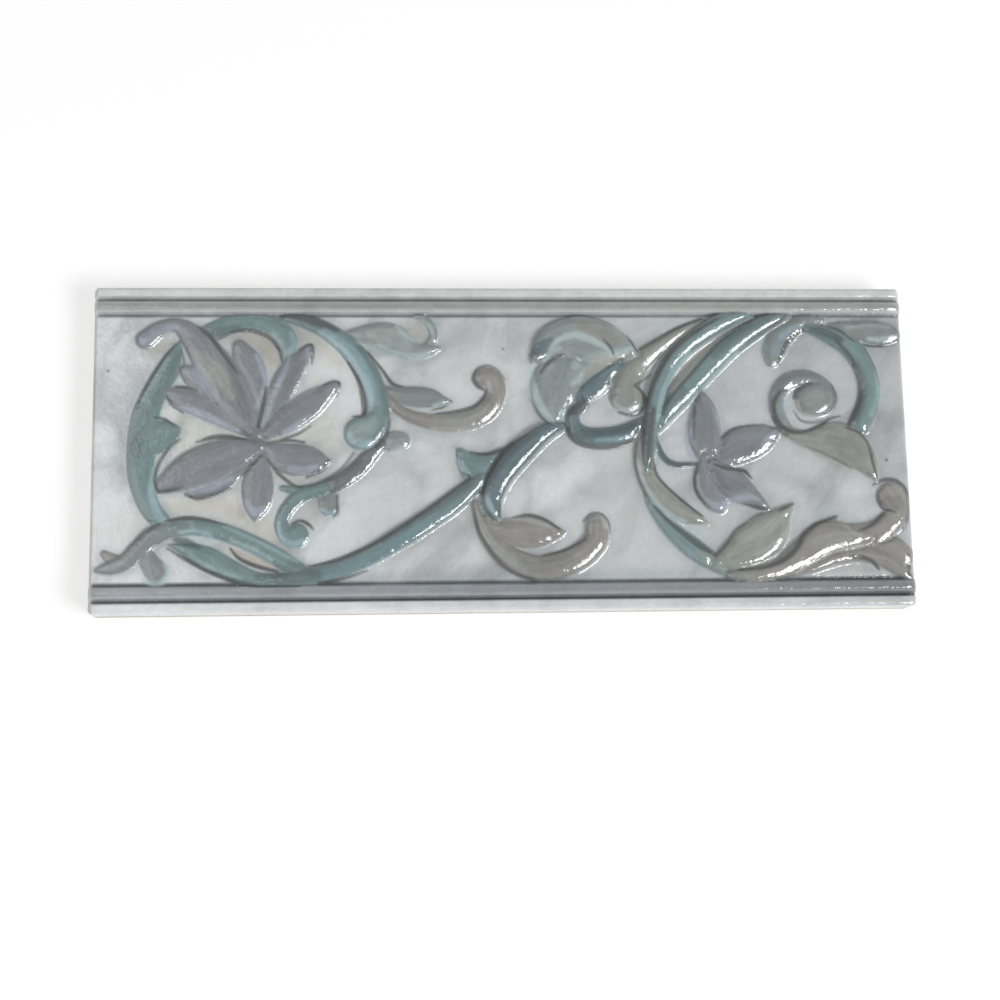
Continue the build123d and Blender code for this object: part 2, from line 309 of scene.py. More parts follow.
stroke(LILAC, 3, (-60, 0.5, 1.5), (-68, -2.2, 4.2), (-75.5, -5.3, 4.6), (-81.5, -8.6, 2.5),
       (-84.4, -10.4, 0.3))
stroke(LILAC, 1, (-63, -4, 1.5), (-69.5, -8.6, 2.6), (-74.6, -10.8, 1.5), (-77.2, -11.4, 0.5))
stroke(LILAC, 1, (-62, 3.5, 1.2), (-68.5, 8, 2.8), (-75.5, 11.5, 3.2), (-80.4, 13.2, 1.9),
       (-82.4, 13.6, 0.4))
patch(LILAC.pale, 0.5, (-88, 27, 1.2), (-84, 29.4, 1), (-80, 30, 0.8))
patch(LILAC.pale, 0.45, (-75.6, 24.5, 0.8), (-74, 18.5, 1.6), (-70.5, 12.5, 1.2))
patch(tone(160, 160, 152), 0.55, (-74.6, 23, 1), (-70.4, 18.6, 2.2), (-66.6, 13, 1.4))
pale(LILAC, (-78.6, 19.8, 0.2), (-75.5, 17.6, 1.1), (-73, 14.5, 0.5), strength=0.6)
pale(LILAC, (-88.6, 27.2, 0.3), (-86.5, 26, 1), (-84.6, 27.6, 0.5), (-81.5, 29.6, 0.5), strength=0.5)
pale(LILAC, (-60.6, 23, 0.4), (-58.9, 19, 0.8), (-58.3, 15.6, 0.5), (-60.4, 10, 0.6))
pale(LILAC, (-52.6, 22, 0.4), (-54.6, 17, 0.6), (-57, 11, 0.7), (-57.8, 7.4, 0.4))
pale(LILAC, (-48.4, 24.4, 0.2), (-48.2, 21.4, 0.3), (-49.6, 16, 0.5), strength=0.5)
pale(LILAC, (-53.6, 3.6, 0.7), (-50.4, 5.4, 0.9), (-47.2, 7.6, 0.4))
pale(LILAC, (-53, 10.8, 0.3), (-49.4, 13.2, 0.6), (-46.4, 14.6, 0.4), strength=0.5)
pale(LILAC, (-52.4, -5.4, 0.7), (-49, -5.8, 0.9), (-46, -4.8, 0.4))
pale(LILAC, (-62.8, -13.4, 0.6), (-61.2, -16, 0.9), (-58.6, -15, 0.6))
pale(LILAC, (-80, 0.2, 0.2), (-82.6, -4.4, 0.7), (-83.6, -8.6, 0.5), strength=0.55)
pale(LILAC, (-76, -10.4, 0.6), (-71.4, -9.6, 1), (-66.4, -7.6, 0.5))
pale(LILAC, (-79.6, 10, 0.4), (-75, 8.6, 0.9), (-69.5, 6, 1), (-65, 4.2, 0.4))
patch(LILAC.deep, 0.5, (-63, 4.4, 0.8), (-60, 2, 2), (-57.6, 1.4, 0.8))
patch(LILAC.deep, 0.4, (-67, 20, 0.6), (-65, 14, 1.2), (-62.4, 7, 0.8))
patch(LILAC.deep, 0.35, (-50.4, 21, 0.6), (-53, 15.6, 1), (-56, 9, 0.6))
patch(LILAC.deep, 0.2, (-44.5, 13.6, 0.5), (-49, 9.4, 1), (-55, 4.6, 0.6))
dark((-74.6, 30, 0.25), (-71.5, 27.2, 0.45), (-69.3, 24, 0.4), (-66.6, 20.4, 0.35), (-65, 18.2, 0.1))
dark((-58.2, 15, 0.15), (-59, 10, 0.4), (-60, 5, 0.45), strength=0.95)
pale(LILAC, (-57.9, 10, 0.2), (-58.6, 7, 0.45), (-59, 5.2, 0.35))
dark((-80.2, 15.3, 0.15), (-77.5, 15, 0.35), (-75, 14.2, 0.3))
dark((-82.3, 13, 0.25), (-81, 10.8, 0.35), (-78.2, 8.8, 0.1))
dark((-75, 1.4, 0.1), (-71, 2.6, 0.55), (-67, 2.7, 0.5), (-63, 1.9, 0.25))
dark((-83.8, -10.8, 0.25), (-80.5, -10.4, 0.35), (-78, -9.6, 0.1))
dark((-77.2, -11.4, 0.2), (-74.5, -12.4, 0.4), (-70, -11.3, 0.3), (-66.5, -9.8, 0.1))
dark((-59.2, -2.2, 0.25), (-62, -4.8, 0.35), (-63.6, -6.8, 0.1))
dark((-57.8, -2.8, 0.25), (-55.5, -6, 0.4), (-52, -9, 0.35), (-49.5, -9.9, 0.15))
dark((-43, -3.3, 0.3), (-44.8, -5.6, 0.35), (-48.5, -7.4, 0.2))
dark((-56.5, 1.5, 0.25), (-52.5, 1.8, 0.35), (-49, 1.3, 0.2))
dark((-54.5, 2, 0.25), (-50.5, 3.4, 0.25), (-47.4, 5.4, 0.1))
dark((-44.5, 15.4, 0.15), (-42, 16.4, 0.3), (-40.4, 15.8, 0.3), (-41.2, 12.8, 0.1))
dark((-50.2, 24.3, 0.15), (-48, 25.7, 0.28), (-46.9, 25, 0.3), (-47.2, 21, 0.12))
print(len(strokes), "strokes with the left flower")

# %% The left ring and its stem
stroke(TEAL, 0, (-83, -18, 2.3), (-86, -14, 2.6), (-88, -7, 3.1), (-87.8, 2, 3.6), (-86.6, 10, 3.2),
       (-81.6, 20.5, 2.6), (-78.8, 27, 0.3))
stroke(TEAL, 0, (-88, 0, 2.5), (-84.5, 2.6, 4), (-81, 4, 2.2), (-79, 4.6, 0.4))
stroke(TEAL, 0, (-74, 28.2, 2), (-67, 30.8, 2.5), (-60.5, 31.4, 2.4), (-55.6, 29.4, 2.8),
       (-52.8, 26, 2.2), (-53.8, 21.9, 0.3))
stroke(TEAL, 2, (-53.5, 32.2, 1), (-48.5, 31.3, 1.7), (-43, 28.8, 2.1), (-38, 24.8, 2.6),
       (-34.3, 19.5, 2.9), (-31.9, 14, 2.7), (-31.2, 9, 2.9), (-32.7, 5, 3.4), (-35.2, 3.4, 4.1))
stroke(SAGE, 1, (-38, 27.8, 1.6), (-32, 28.2, 2.9), (-27.5, 27.2, 3.6), (-23, 24.2, 2.4),
       (-18.8, 24.2, 1.4), (-15.8, 24.8, 0.4))
stroke(SAGE, 0, (-19.4, 24.6, 1.2), (-17.4, 27.6, 1.1), (-18.4, 31, 1.1), (-21, 32.8, 0.8),
       (-22.8, 32.8, 0.3))
stroke(SMOKE, 0, (-30, 14, 1.2), (-24.5, 12.8, 2.4), (-19, 12.2, 2.6), (-15.4, 11.6, 1.2),
       (-13.2, 11.4, 0.3))
stroke(TAUPE, 1, (-29.5, 12.6, 0.9), (-25.5, 8.9, 1.3), (-21, 6.8, 1.7), (-15, 6, 2.2), (-9, 6.6, 2.4),
       (-4.4, 9.2, 2.5), (-2.2, 13.2, 2.4), (-3, 16.8, 2.5), (-5.2, 17.4, 2.5))
stroke(SAGE, 1, (-31, 0.4, 1.2), (-27.4, 1.4, 2.5), (-25.4, 1.6, 2.1))
stroke(INK, 1, (-30.8, 0.8, 1.6), (-35.4, -4.6, 2.1), (-39.5, -8, 2), (-43.5, -10, 1.9),
       (-46.5, -10.8, 1.6))
stroke(TEAL, 1, (-44.5, -10.2, 1.6), (-49.5, -11.7, 1.8), (-53, -15, 1.7), (-54.4, -18.8, 1.7),
       (-53, -21.6, 2.2), (-50.9, -21.6, 3.1))
stroke(SMOKE, 0, (-43, -9.5, 1.8), (-43.4, -12.6, 2.5), (-43.2, -14.6, 2.3))
stroke(TEAL, 0, (-49.5, -10.8, 1.4), (-54.2, -10, 0.8))
patch(INK.deep, 0.75, (-54.5, 33, 0.6), (-50, 32.6, 1), (-46, 31.3, 1.1), (-41, 29.2, 0.4))
patch(TEAL.deep, 0.45, (-73, 28.6, 0.8), (-69, 29, 1.1), (-65, 30, 0.5))
patch(TEAL.deep, 0.35, (-79.6, 24, 0.6), (-82, 18, 1), (-85, 11, 0.8))
patch(TEAL.deep, 0.3, (-36, 25.4, 0.6), (-32, 19.6, 1), (-29.6, 14, 0.8), (-29.4, 8, 0.5))
patch(TEAL.deep, 0.3, (-89, -4, 0.8), (-88.6, 4, 1.6), (-87, 9, 1))
patch(tone(144, 170, 179), 0.6, (-44, 29, 0.5), (-37.6, 23.6, 1.3), (-34, 17.6, 1.4), (-32, 11, 1))
pale(TEAL, (-87.8, 12, 0.25), (-85.4, 17, 0.45), (-82, 22.2, 0.3), strength=0.6)
pale(TEAL, (-84.8, -5, 0.5), (-85.4, -11, 0.8), (-83.6, -16.5, 0.9), (-81.4, -18, 0.4))
pale(TEAL, (-52.2, 28.6, 0.5), (-51.3, 25.6, 0.6), (-53, 23.4, 0.5), strength=0.55)
pale(TEAL, (-56.6, 28, 0.5), (-55, 26, 0.6), (-54, 23.4, 0.4), strength=0.6)
pale(TEAL, (-45, 28.3, 0.4), (-39, 23.4, 0.7), (-35.5, 18.6, 0.9), (-33.3, 13, 1.2), (-33.4, 9, 0.5))
pale(TEAL, (-38.9, 3.6, 0.4), (-37.4, 1.5, 0.9), (-34.4, 0.6, 1), (-31.6, 1.3, 0.4))
patch(tone(156, 167, 166), 0.6, (-37.6, 4.4, 1), (-35, 3.8, 2.4), (-32.6, 6, 1.4))
patch(tone(164, 175, 171), 0.6, (-33, 28.2, 0.9), (-28, 27.4, 1.9), (-23.6, 24.8, 1))
pale(SAGE, (-30.4, 24.6, 0.3), (-26, 23, 0.7), (-22, 22.5, 0.7), (-18.2, 23.4, 0.3))
pale(SAGE, (-26.4, 30, 0.5), (-23.4, 27.2, 0.6), (-20.4, 26, 0.4), strength=0.6)
pale(SAGE, (-20, 31.6, 0.3), (-18, 29.6, 0.4), (-17.6, 27, 0.3), strength=0.5)
pale(SAGE, (-36, 26, 0.4), (-31.6, 25.4, 0.4), (-28.4, 25, 0.3), strength=0.5)
pale(TAUPE, (-4.2, 16, 0.35), (-3.9, 13.6, 0.45), (-5, 12.6, 0.2), strength=0.6)
patch(tone(156, 160, 158), 0.5, (-17, 6.2, 0.8), (-10, 6.8, 1.3), (-5, 9.6, 1.1))
pale(TAUPE, (-18, 4.5, 0.3), (-11, 4.3, 0.4), (-5.4, 6, 0.3), strength=0.6)
pale(SAGE, (-17.6, 10.2, 0.3), (-15, 11, 0.35), strength=0.7)
pale(SAGE, (-27.6, -0.8, 0.4), (-24.6, -0.2, 0.4), strength=0.6)
pale(TEAL, (-44.8, -15.4, 0.5), (-43, -16.4, 0.6), (-41.8, -15.8, 0.3))
pale(TEAL, (-55, -18.6, 0.3), (-55, -21.6, 0.5), (-52.4, -23.8, 0.7), (-48.6, -23, 0.6))
dark((-89, 11, 0.25), (-86.3, 16.6, 0.35), (-82.9, 22.4, 0.3), (-80.2, 25.8, 0.1))
dark((-85, 7.6, 0.12), (-82.6, 7.1, 0.35), (-80.2, 5.6, 0.15))
dark((-78.8, 2.2, 0.15), (-81.4, 0, 0.35), (-83.9, -4, 0.45), (-84.7, -8, 0.3), (-83.8, -11, 0.12))
dark((-78.6, 24, 0.1), (-78.2, 20.6, 0.25), (-80.6, 16.4, 0.1), strength=0.5)
dark((-70, 27, 0.15), (-66, 29, 0.35), (-62, 29.2, 0.4), (-57.6, 27.6, 0.45), (-55.1, 24.5, 0.4),
     (-54.4, 21.4, 0.2))
dark((-38.4, 21.2, 0.12), (-36, 17, 0.4), (-34.7, 12, 0.55), (-34.7, 8, 0.45), (-37.2, 7.6, 0.2),
     strength=0.9)
dark((-33.5, 23.7, 0.2), (-30.1, 19.4, 0.35), (-27.6, 15.9, 0.4), (-25, 15.1, 0.15))
dark((-28.6, 10, 0.12), (-28.5, 6, 0.3), (-29.3, 2.8, 0.4), (-31.5, 0, 0.5))
dark((-17, 8.3, 0.12), (-12.5, 8.8, 0.32), (-8, 9.9, 0.45), (-5.5, 12, 0.4), (-4.8, 14, 0.25),
     (-6.6, 15, 0.35), (-7.9, 17, 0.3), (-7, 19.2, 0.15))
dark((-7, 19.4, 0.15), (-4.6, 20.4, 0.32), (-1.8, 19.4, 0.15), (0.1, 16.8, 0.12), strength=0.6)
dark((-18, 9.2, 0.1), (-15.5, 9.9, 0.3), (-13.3, 11.3, 0.25))
dark((-52, -18.6, 0.15), (-50, -17.9, 0.3), (-48, -18.8, 0.38), (-46.9, -20, 0.15))
dark((-41, -11, 0.15), (-41, -14, 0.25), (-41.1, -16, 0.35), (-42, -17, 0.1))
dark((-37, -1.4, 0.2), (-40.4, -5.6, 0.35), (-46, -9, 0.4), (-50, -9.6, 0.25), strength=0.6)

# %% The lower stem
stroke(TEAL, 2, (-50, -30.4, 2), (-56, -26.4, 2.2), (-62.5, -22.9, 2.1), (-69, -20.4, 2.1),
       (-75.5, -19.2, 2.1), (-81.5, -20, 2.3), (-85, -21.9, 2.3))
stroke(SMOKE, 2, (-77.5, -19.2, 1.2), (-84.4, -21.2, 2.4), (-88.2, -24.6, 2.3), (-91, -27.4, 2.1),
       (-94.6, -29, 1.7), (-98, -29.6, 0.6))
stroke(TAUPE, 0, (-91.5, -28, 1.6), (-94.4, -27, 1.5), (-96.4, -25.6, 0.9))
stroke(SMOKE, 0, (-87, -24.6, 1.6), (-85.6, -27.8, 2.4), (-84, -30, 2.9))
stroke(TEAL, 1, (-48, -31.6, 2.1), (-54, -32.5, 1.9), (-60, -32.2, 1.9), (-66, -30.1, 2.6),
       (-72.5, -26.8, 2.9), (-77.6, -24.6, 1.4), (-81.2, -23.6, 0.3))
stroke(TEAL, 3, (-60, -32.2, 0.3), (-54, -32.2, 1.3), (-47, -31.4, 2.1), (-40, -29.5, 2.2),
       (-33, -26.3, 2.4), (-26, -22.2, 2.6), (-19, -17.8, 2.6), (-12.5, -13.2, 2.5), (-7, -8.8, 1.6),
       (-4.6, -7, 0.4), press=0.72)
stroke(TEAL, 0, (-6.4, -9.4, 2.2), (-8.6, -5.4, 3), (-10.6, -2.2, 1.6), (-11.8, -0.6, 0.4))
stroke(TEAL, 0, (-7.6, -7, 2.4), (-4.5, -4, 2.2), (-1.2, -1.4, 1.2), (0.4, -0.2, 0.3))
stroke(TEAL, 0, (-9.4, -3.8, 1.7), (-6, -5, 2.8), (-2.6, -7, 2.2))
patch(TEAL.body, 0.7, (-73, -19.4, 1.4), (-78, -19.4, 1.2), (-82, -20.2, 0.3))
patch(SMOKE.pale, 0.5, (-98.4, -29.4, 0.4), (-95, -29, 0.8), (-92, -28, 0.3))
patch(BEIGE, 0.85, (-66.4, -25, 0.3), (-62, -27.4, 1.3), (-57, -29.2, 0.7))
patch(TEAL.deep, 0.8, (-79.6, -22.2, 0.5), (-77, -23, 0.9), (-74, -24.2, 0.4))
patch(TEAL.deep, 0.5, (-60, -31.4, 0.7), (-53, -31.6, 1.3), (-46, -31.4, 1))
patch(TEAL.deep, 0.35, (-52, -28.4, 0.8), (-48, -30, 1), (-44, -31, 0.6))
pale(TEAL, (-78.6, -20.6, 0.25), (-74.6, -20.4, 0.4), (-71, -21.8, 0.4), (-73.4, -22.8, 0.25))
pale(TEAL, (-66.5, -22.8, 0.3), (-62, -24.8, 0.7), (-57, -27.6, 0.6), strength=0.6)
pale(TEAL, (-68, -19.4, 0.2), (-63, -21.6, 0.4), (-57, -24.6, 0.4), (-50.6, -28, 0.3), strength=0.6)
pale(TEAL, (-74, -27.6, 0.3), (-70, -29.6, 0.6), (-64, -31.6, 0.5), strength=0.45)
pale(SAGE, (-87.6, -29.6, 0.3), (-86.4, -32, 0.5), (-83.6, -33, 0.6), (-81.4, -31, 0.5),
     (-82, -28, 0.3))
patch(tone(108, 134, 142), 0.6, (-44, -31.2, 0.6), (-34, -27.8, 1.2), (-25, -22.6, 1.3),
      (-16, -17, 0.8))
patch(SMOKE.deep, 0.45, (-30, -23.2, 0.4), (-20, -17, 0.8), (-12, -11.6, 1.2), (-7, -8.4, 0.8))
pale(TEAL, (-11.6, -3.6, 0.4), (-10.4, -5.4, 0.7), (-9.2, -6.6, 0.3))
dark((-82, -17.9, 0.2), (-77.5, -17.1, 0.45), (-73, -17.5, 0.4), (-67.6, -18.9, 0.12))
dark((-90.4, -24.6, 0.15), (-87, -21, 0.35), (-83.6, -18.6, 0.25), strength=0.5)
dark((-81.4, -24.4, 0.15), (-77, -27.2, 0.4), (-71, -30.3, 0.45), (-64, -32.9, 0.45),
     (-57, -34.2, 0.35), (-50, -33.9, 0.25))
dark((-66.6, -24.5, 0.1), (-64.4, -27, 0.35), (-60, -29, 0.45), (-55.3, -30.2, 0.3), strength=0.9)
dark((-47.8, -29.1, 0.15), (-40, -27.2, 0.45), (-30, -22.6, 0.38), (-20, -16, 0.36), (-12, -10.2, 0.36),
     (-8.9, -7.8, 0.3), (-10.8, -6.5, 0.15), strength=0.9)
dark((-45.5, -33.1, 0.2), (-40, -32.2, 0.3), (-34, -30.2, 0.1))
dark((-8.8, -1.3, 0.15), (-5.5, -1.9, 0.4), (-1.5, -1.2, 0.45), (1.5, 0.6, 0.3), strength=0.9)

# %% The middle scrolls and the folded leaf
stroke(SLATE, 4, (14, 5, 0.8), (8.8, 2.8, 2.2), (3.6, -1.7, 2.8), (-1, -7, 2.8), (-3.6, -12.8, 2.4),
       (-3, -17, 1.2), (-2.4, -18.6, 0.3))
stroke(TAUPE, 2, (-7.8, -14, 0.8), (-6.6, -18.6, 1.2), (-4, -23.4, 2.1), (0.6, -27.7, 2.8),
       (6.5, -29.9, 2.9), (12.5, -29.4, 3), (18, -26.8, 3), (21.4, -23.2, 2.9), (21.6, -20, 2.6))
stroke(TAUPE, 1, (-5.4, -17.8, 1), (-0.5, -21, 3.2), (6, -21.3, 3.8), (11, -21.4, 1.8),
       (14, -21.2, 0.3))
stroke(SAGE, 1, (13, 4.6, 0.6), (11.8, 8, 2.6), (11.6, 11.4, 4.5), (12.2, 15, 5.8), (13.6, 18.6, 5.6))
stroke(SAGE, 2, (7, 21.4, 0.7), (11.5, 26, 4), (17.5, 27.6, 5.2), (24, 26.4, 5.2), (29, 24.4, 3),
       (33.2, 23.1, 0.3))
stroke(SAGE, 0, (15.4, 9.6, 1.4), (18.2, 14.6, 3.2), (21.4, 18.8, 3.4), (25, 22, 2))
stroke(SLATE, 0, (18.6, 12.4, 1.8), (22.5, 15, 2.6), (26, 18.2, 1.8), (30.4, 21.8, 0.3))
stroke(SLATE, 2, (34.5, 5.2, 2.2), (30, 3.3, 2.3), (25, 2.3, 2.3), (20, 2.5, 2.2), (17, 4.6, 1.9),
       (16.8, 8, 1.5), (19.8, 11.2, 0.6))
stroke(OLIVE, 1, (50, 31.6, 0.7), (44.5, 28.8, 1.4), (38.5, 25.2, 2.1), (33.4, 21, 2.7),
       (30.4, 15.8, 3.3), (30.2, 11.8, 3.9))
patch(TAUPE.body, 0.6, (20, 30, 1.4), (23.5, 28.6, 2.2), (27.6, 26.2, 1.2))
patch(SAGE.pale, 0.35, (17, 20, 0.8), (23, 22, 1.2), (30, 23.6, 0.7))
patch(BEIGE, 0.6, (19.6, 18, 0.5), (23.4, 20.8, 1.2), (28, 22.6, 0.6))
patch(SLATE.body, 0.9, (6.9, 23, 0.4), (8.8, 24.2, 1.6), (11.6, 26.4, 0.5))
patch(SAGE.deep, 0.2, (10.4, 12, 0.9), (12.4, 17, 1.8), (16, 20.6, 0.9))
patch(INK.deep, 0.85, (15.8, 8, 0.5), (17.6, 8.8, 1), (20, 10.4, 0.5))
patch(SLATE.deep, 0.5, (33, 4.8, 0.8), (25, 2.6, 1.4), (19, 3.2, 0.9))
patch(tone(128, 136, 136), 0.4, (30.3, 14, 1.4), (30, 11.6, 1.9))
patch(INK.deep, 0.25, (7, 3, 0.7), (2, 0, 1.3), (-2.4, -5, 1.3), (-4.6, -9.6, 0.7))
pale(SAGE, (12, 5.4, 0.3), (9.4, 8.6, 0.9), (7, 13.6, 1), (6.4, 18.6, 0.8), (7.6, 21.6, 0.3))
pale(SAGE, (11.2, 24.2, 0.4), (14, 26.8, 0.7), (18, 27.7, 0.8), (22.5, 26, 0.7), (26.2, 23.6, 0.3),
     strength=0.7)
pale(SAGE, (31.8, 24.6, 0.5), (29, 23.2, 0.6), (26.4, 22.8, 0.3), strength=0.6)
pale(SAGE, (16.6, 15.4, 0.5), (18.6, 17, 0.6), (19.6, 19.6, 0.3), strength=0.6)
pale(SAGE, (9.6, 19.4, 0.3), (11, 23, 0.5), (13.6, 24.4, 0.5), strength=0.5)
pale(TEAL, (13.2, 5.8, 0.4), (14.2, 8.6, 0.6), strength=0.7)
pale(TEAL, (-5.6, -12.2, 0.4), (-4.6, -15, 0.9), (-3.2, -17, 0.4))
pale(SLATE, (24, 17.6, 0.4), (27.6, 20.2, 0.4), strength=0.5)
pale(SLATE, (22, 1.2, 0.25), (27, 1.5, 0.45), (31.6, 2.4, 0.35))
pale(SMOKE, (-7.2, -16.6, 0.3), (-5.4, -21.6, 0.8), (-1.4, -26.6, 1.2), (4, -30.8, 0.9), strength=0.35)
patch(tone(122, 125, 123), 0.55, (3, -29.2, 0.9), (9, -29.9, 1.4), (15, -28, 0.9))
pale(TAUPE, (-2, -17.9, 0.3), (4, -18.2, 0.5), (9.4, -19.7, 0.35), (11.4, -21, 0.2))
pale(TAUPE, (5, -26.1, 0.25), (9.4, -26.5, 0.25), (13, -26.2, 0.15), strength=0.6)
pale(TAUPE, (19.1, -19.8, 0.25), (20.6, -18, 0.35), (22.8, -18, 0.35), (23.9, -20.4, 0.25))
pale(SAGE, (26.2, 11.4, 0.3), (27.4, 9.3, 0.7), (30.4, 8.6, 0.7), (33.2, 10.2, 0.35))
pale(OLIVE, (45, 28, 0.3), (38, 23.8, 0.4), (33.4, 18.4, 0.4), strength=0.5)
dark((5, 2.7, 0.3), (0.2, -0.6, 0.55), (-3.1, -5, 0.55), (-5.3, -9, 0.4), (-6, -12.4, 0.15),
     strength=0.85)
dark((-1.8, -14.4, 0.3), (-1.8, -17.6, 0.25))
dark((-8, -15.6, 0.15), (-7, -21, 0.3), (-3.6, -26.6, 0.36), (1, -30.9, 0.36), (6, -32.8, 0.3),
     strength=0.5)
dark((1.4, -17.5, 0.1), (5.5, -17, 0.34), (9.5, -18.4, 0.4), (12.6, -20.5, 0.25))
dark((8.6, -26.9, 0.12), (14, -25.6, 0.3), (18.8, -23.2, 0.3))
dark((18.5, -18.6, 0.15), (20.4, -16.9, 0.34), (23, -16.9, 0.3), (24.7, -19, 0.25), (24.9, -21.6, 0.12),
     strength=0.7)
dark((8.8, 18.2, 0.2), (10.5, 20.6, 0.38), (13, 22.4, 0.38), (15, 22.9, 0.1))
dark((11, 5.2, 0.15), (8.2, 8, 0.25), (6.2, 12, 0.12), strength=0.5)
dark((6.6, 22.6, 0.12), (8.4, 20.9, 0.2), (9.4, 23, 0.12), strength=0.6)
dark((24.6, 26.6, 0.1), (26.1, 24.8, 0.25), (27, 22.8, 0.18))
dark((30.6, 27.9, 0.12), (32, 25.6, 0.35), (33, 23.6, 0.2))
dark((18.8, 14.4, 0.15), (22, 17, 0.3), (26, 20, 0.3), (30, 22.4, 0.15))
dark((19, 12.4, 0.3), (19.6, 10.6, 0.35))
dark((14.6, 5.4, 0.25), (15.8, 2.3, 0.35), (19, 0.2, 0.4), (24.5, -0.4, 0.4), (30, 0.7, 0.3),
     (32.4, 2, 0.1))
dark((49.4, 32.4, 0.25), (43, 29.7, 0.4), (38, 26.7, 0.36), (33.8, 24.4, 0.25))
dark((36.2, 18, 0.12), (33, 15.6, 0.25), (32.1, 15, 0.3), (33.8, 13.8, 0.3), (34.7, 11.5, 0.36),
     (33.8, 9, 0.32), (31.2, 7.7, 0.32), (28, 8.4, 0.12))
dark((26.2, 15.4, 0.2), (25.9, 12.4, 0.3), (26.6, 10, 0.1), strength=0.6)
print(len(strokes), "strokes with the middle scrolls")

# %% The big right scroll
stroke(TEAL, 4, (61, 33.2, 1), (54.4, 31.2, 2.2), (47.6, 27, 2.2), (42, 22, 2.1), (38.5, 16.3, 2),
       (36.6, 10.3, 1.9), (35.6, 4, 1.9), (34.8, -2, 1.6), (34.4, -6, 0.7))
stroke(TEAL, 1, (34.2, -8, 0.8), (35.4, -13.4, 1.6), (39.2, -19.6, 2.1), (44.8, -25, 2.6),
       (50.4, -29, 2.2), (55.6, -31.4, 1.6), (60, -32.4, 0.6))
stroke(TEAL, 3, (71, 33, 0.8), (64, 30.4, 2.2), (57.2, 26, 2.6), (50.9, 20.5, 2.9), (45.3, 14.8, 2.9),
       (40.3, 9, 2.3), (37.4, 4, 0.8))
stroke(OLIVE, 2, (33.3, 3, 0.8), (33.3, -4, 1.9), (35.2, -9.5, 2.4), (39, -14, 2.7), (43.5, -17.2, 2.2),
       (49.2, -19.5, 0.3))
stroke(SLATE, 0, (36.6, 2, 0.8), (38.7, -2.7, 0.8), (41.5, -4.7, 0.8), (46.8, -4.6, 0.5))
stroke(SMOKE, 1, (80, 32, 0.8), (74, 31, 2.1), (69.4, 27.6, 3), (67.4, 24, 2.9), (66.8, 21.6, 1.8),
       press=0.7)
stroke(TEAL, 1, (76, 29.6, 1), (82, 28, 2.5), (87, 24.6, 2.8), (90.2, 19.3, 2.8), (91.2, 14, 2.5),
       (90.2, 9, 2.6), (88, 5, 2.6))
stroke(SMOKE, 1, (82, 30.6, 0.6), (89.5, 29.2, 2.7), (95, 28.6, 3), (98.4, 28.2, 1.6), (99.7, 28, 0.6),
       press=0.7)
stroke(SMOKE, 1, (71, 3.2, 0.8), (67.7, 8, 1.8), (67.7, 12.5, 2), (70.6, 16.2, 2.1), (75.5, 16.9, 2.2),
       (79.7, 13.8, 2.5), (79.4, 10, 2.3), press=0.7)
stroke(SMOKE, 2, (76.2, 11.2, 4), (77.4, 11.6, 4.2), press=0.75)
stroke(OLIVE, 1, (68, 4, 1), (75, 1.4, 2.4), (82.5, 0.6, 5.2), (88, -3, 3.6), (90.6, -7, 1.4),
       (91.6, -9.2, 0.3))
patch(INK.deep, 0.8, (36.2, 8.4, 0.7), (34.9, 3, 1.1), (34.7, -1.4, 1), (35.2, -5.4, 0.5))
patch(BEIGE, 0.9, (53.6, 27.2, 0.2), (48.6, 22.6, 0.9), (44.4, 18, 1), (41, 13.4, 0.3))
patch(TEAL.deep, 0.45, (66, 31.6, 0.6), (58, 27.6, 1), (52, 22.4, 0.8))
patch(TEAL.deep, 0.4, (44, 13.6, 0.8), (40, 9.6, 1.1), (38, 5.6, 0.6))
patch(SLATE.deep, 0.65, (77, 29.2, 0.6), (80.4, 28.6, 1.1), (84, 26.6, 0.8))
patch(SLATE.deep, 0.3, (88, 20, 0.6), (89, 13, 0.9), (87, 7, 1))
patch(tone(130, 150, 159), 0.5, (72, 29.6, 0.9), (69, 27, 1.5), (67.4, 23.6, 1.2))
patch(tone(124, 129, 126), 0.45, (80, 1.6, 1), (84, -0.6, 2.2), (88, -4, 1))
patch(SAGE.deep, 0.4, (68, 14, 0.6), (72, 17.4, 0.8), (77, 17.6, 0.7))
patch(tone(152, 157, 153), 0.45, (75.4, 11, 1.6), (77.4, 11.6, 2.2))
pale(TEAL, (46, 23.6, 0.3), (41.4, 17.8, 0.55), (38.6, 11.4, 0.6), (37.4, 6, 0.35))
pale(TEAL, (60, 25.6, 0.2), (53, 18.6, 0.4), (47.4, 12.8, 0.5), (45.4, 10.8, 0.3), strength=0.55)
pale(TEAL, (54, 27, 0.3), (48.4, 22.2, 0.3), (44.4, 18, 0.2), strength=0.4)
pale(SAGE, (32.1, -4, 0.3), (33.4, -9.4, 0.4), (36, -13.6, 0.4), (39.4, -17, 0.4), (43.4, -19.2, 0.3))
pale(SAGE, (36.8, -15.2, 0.2), (40.4, -18.6, 0.5), (44, -21, 0.55), (47.2, -22.8, 0.25), strength=0.5)
pale(TEAL, (34.8, -15.6, 0.3), (38.2, -21, 0.6), (43, -25.8, 0.7), (47.4, -28.8, 0.4), strength=0.45)
pale(TEAL, (69.4, 27.4, 0.5), (72.6, 29.8, 0.5), (75, 30.4, 0.3), strength=0.55)
pale(TEAL, (65, 27.6, 0.5), (65, 24.6, 0.6), strength=0.5)
pale(TEAL, (93, 19, 0.2), (93.2, 14.6, 0.3), (92.4, 10.6, 0.4), (91, 7.4, 0.4), strength=0.6)
pale(SAGE, (91.4, 27, 0.35), (96, 26.9, 0.55), (98.8, 27.6, 0.3))
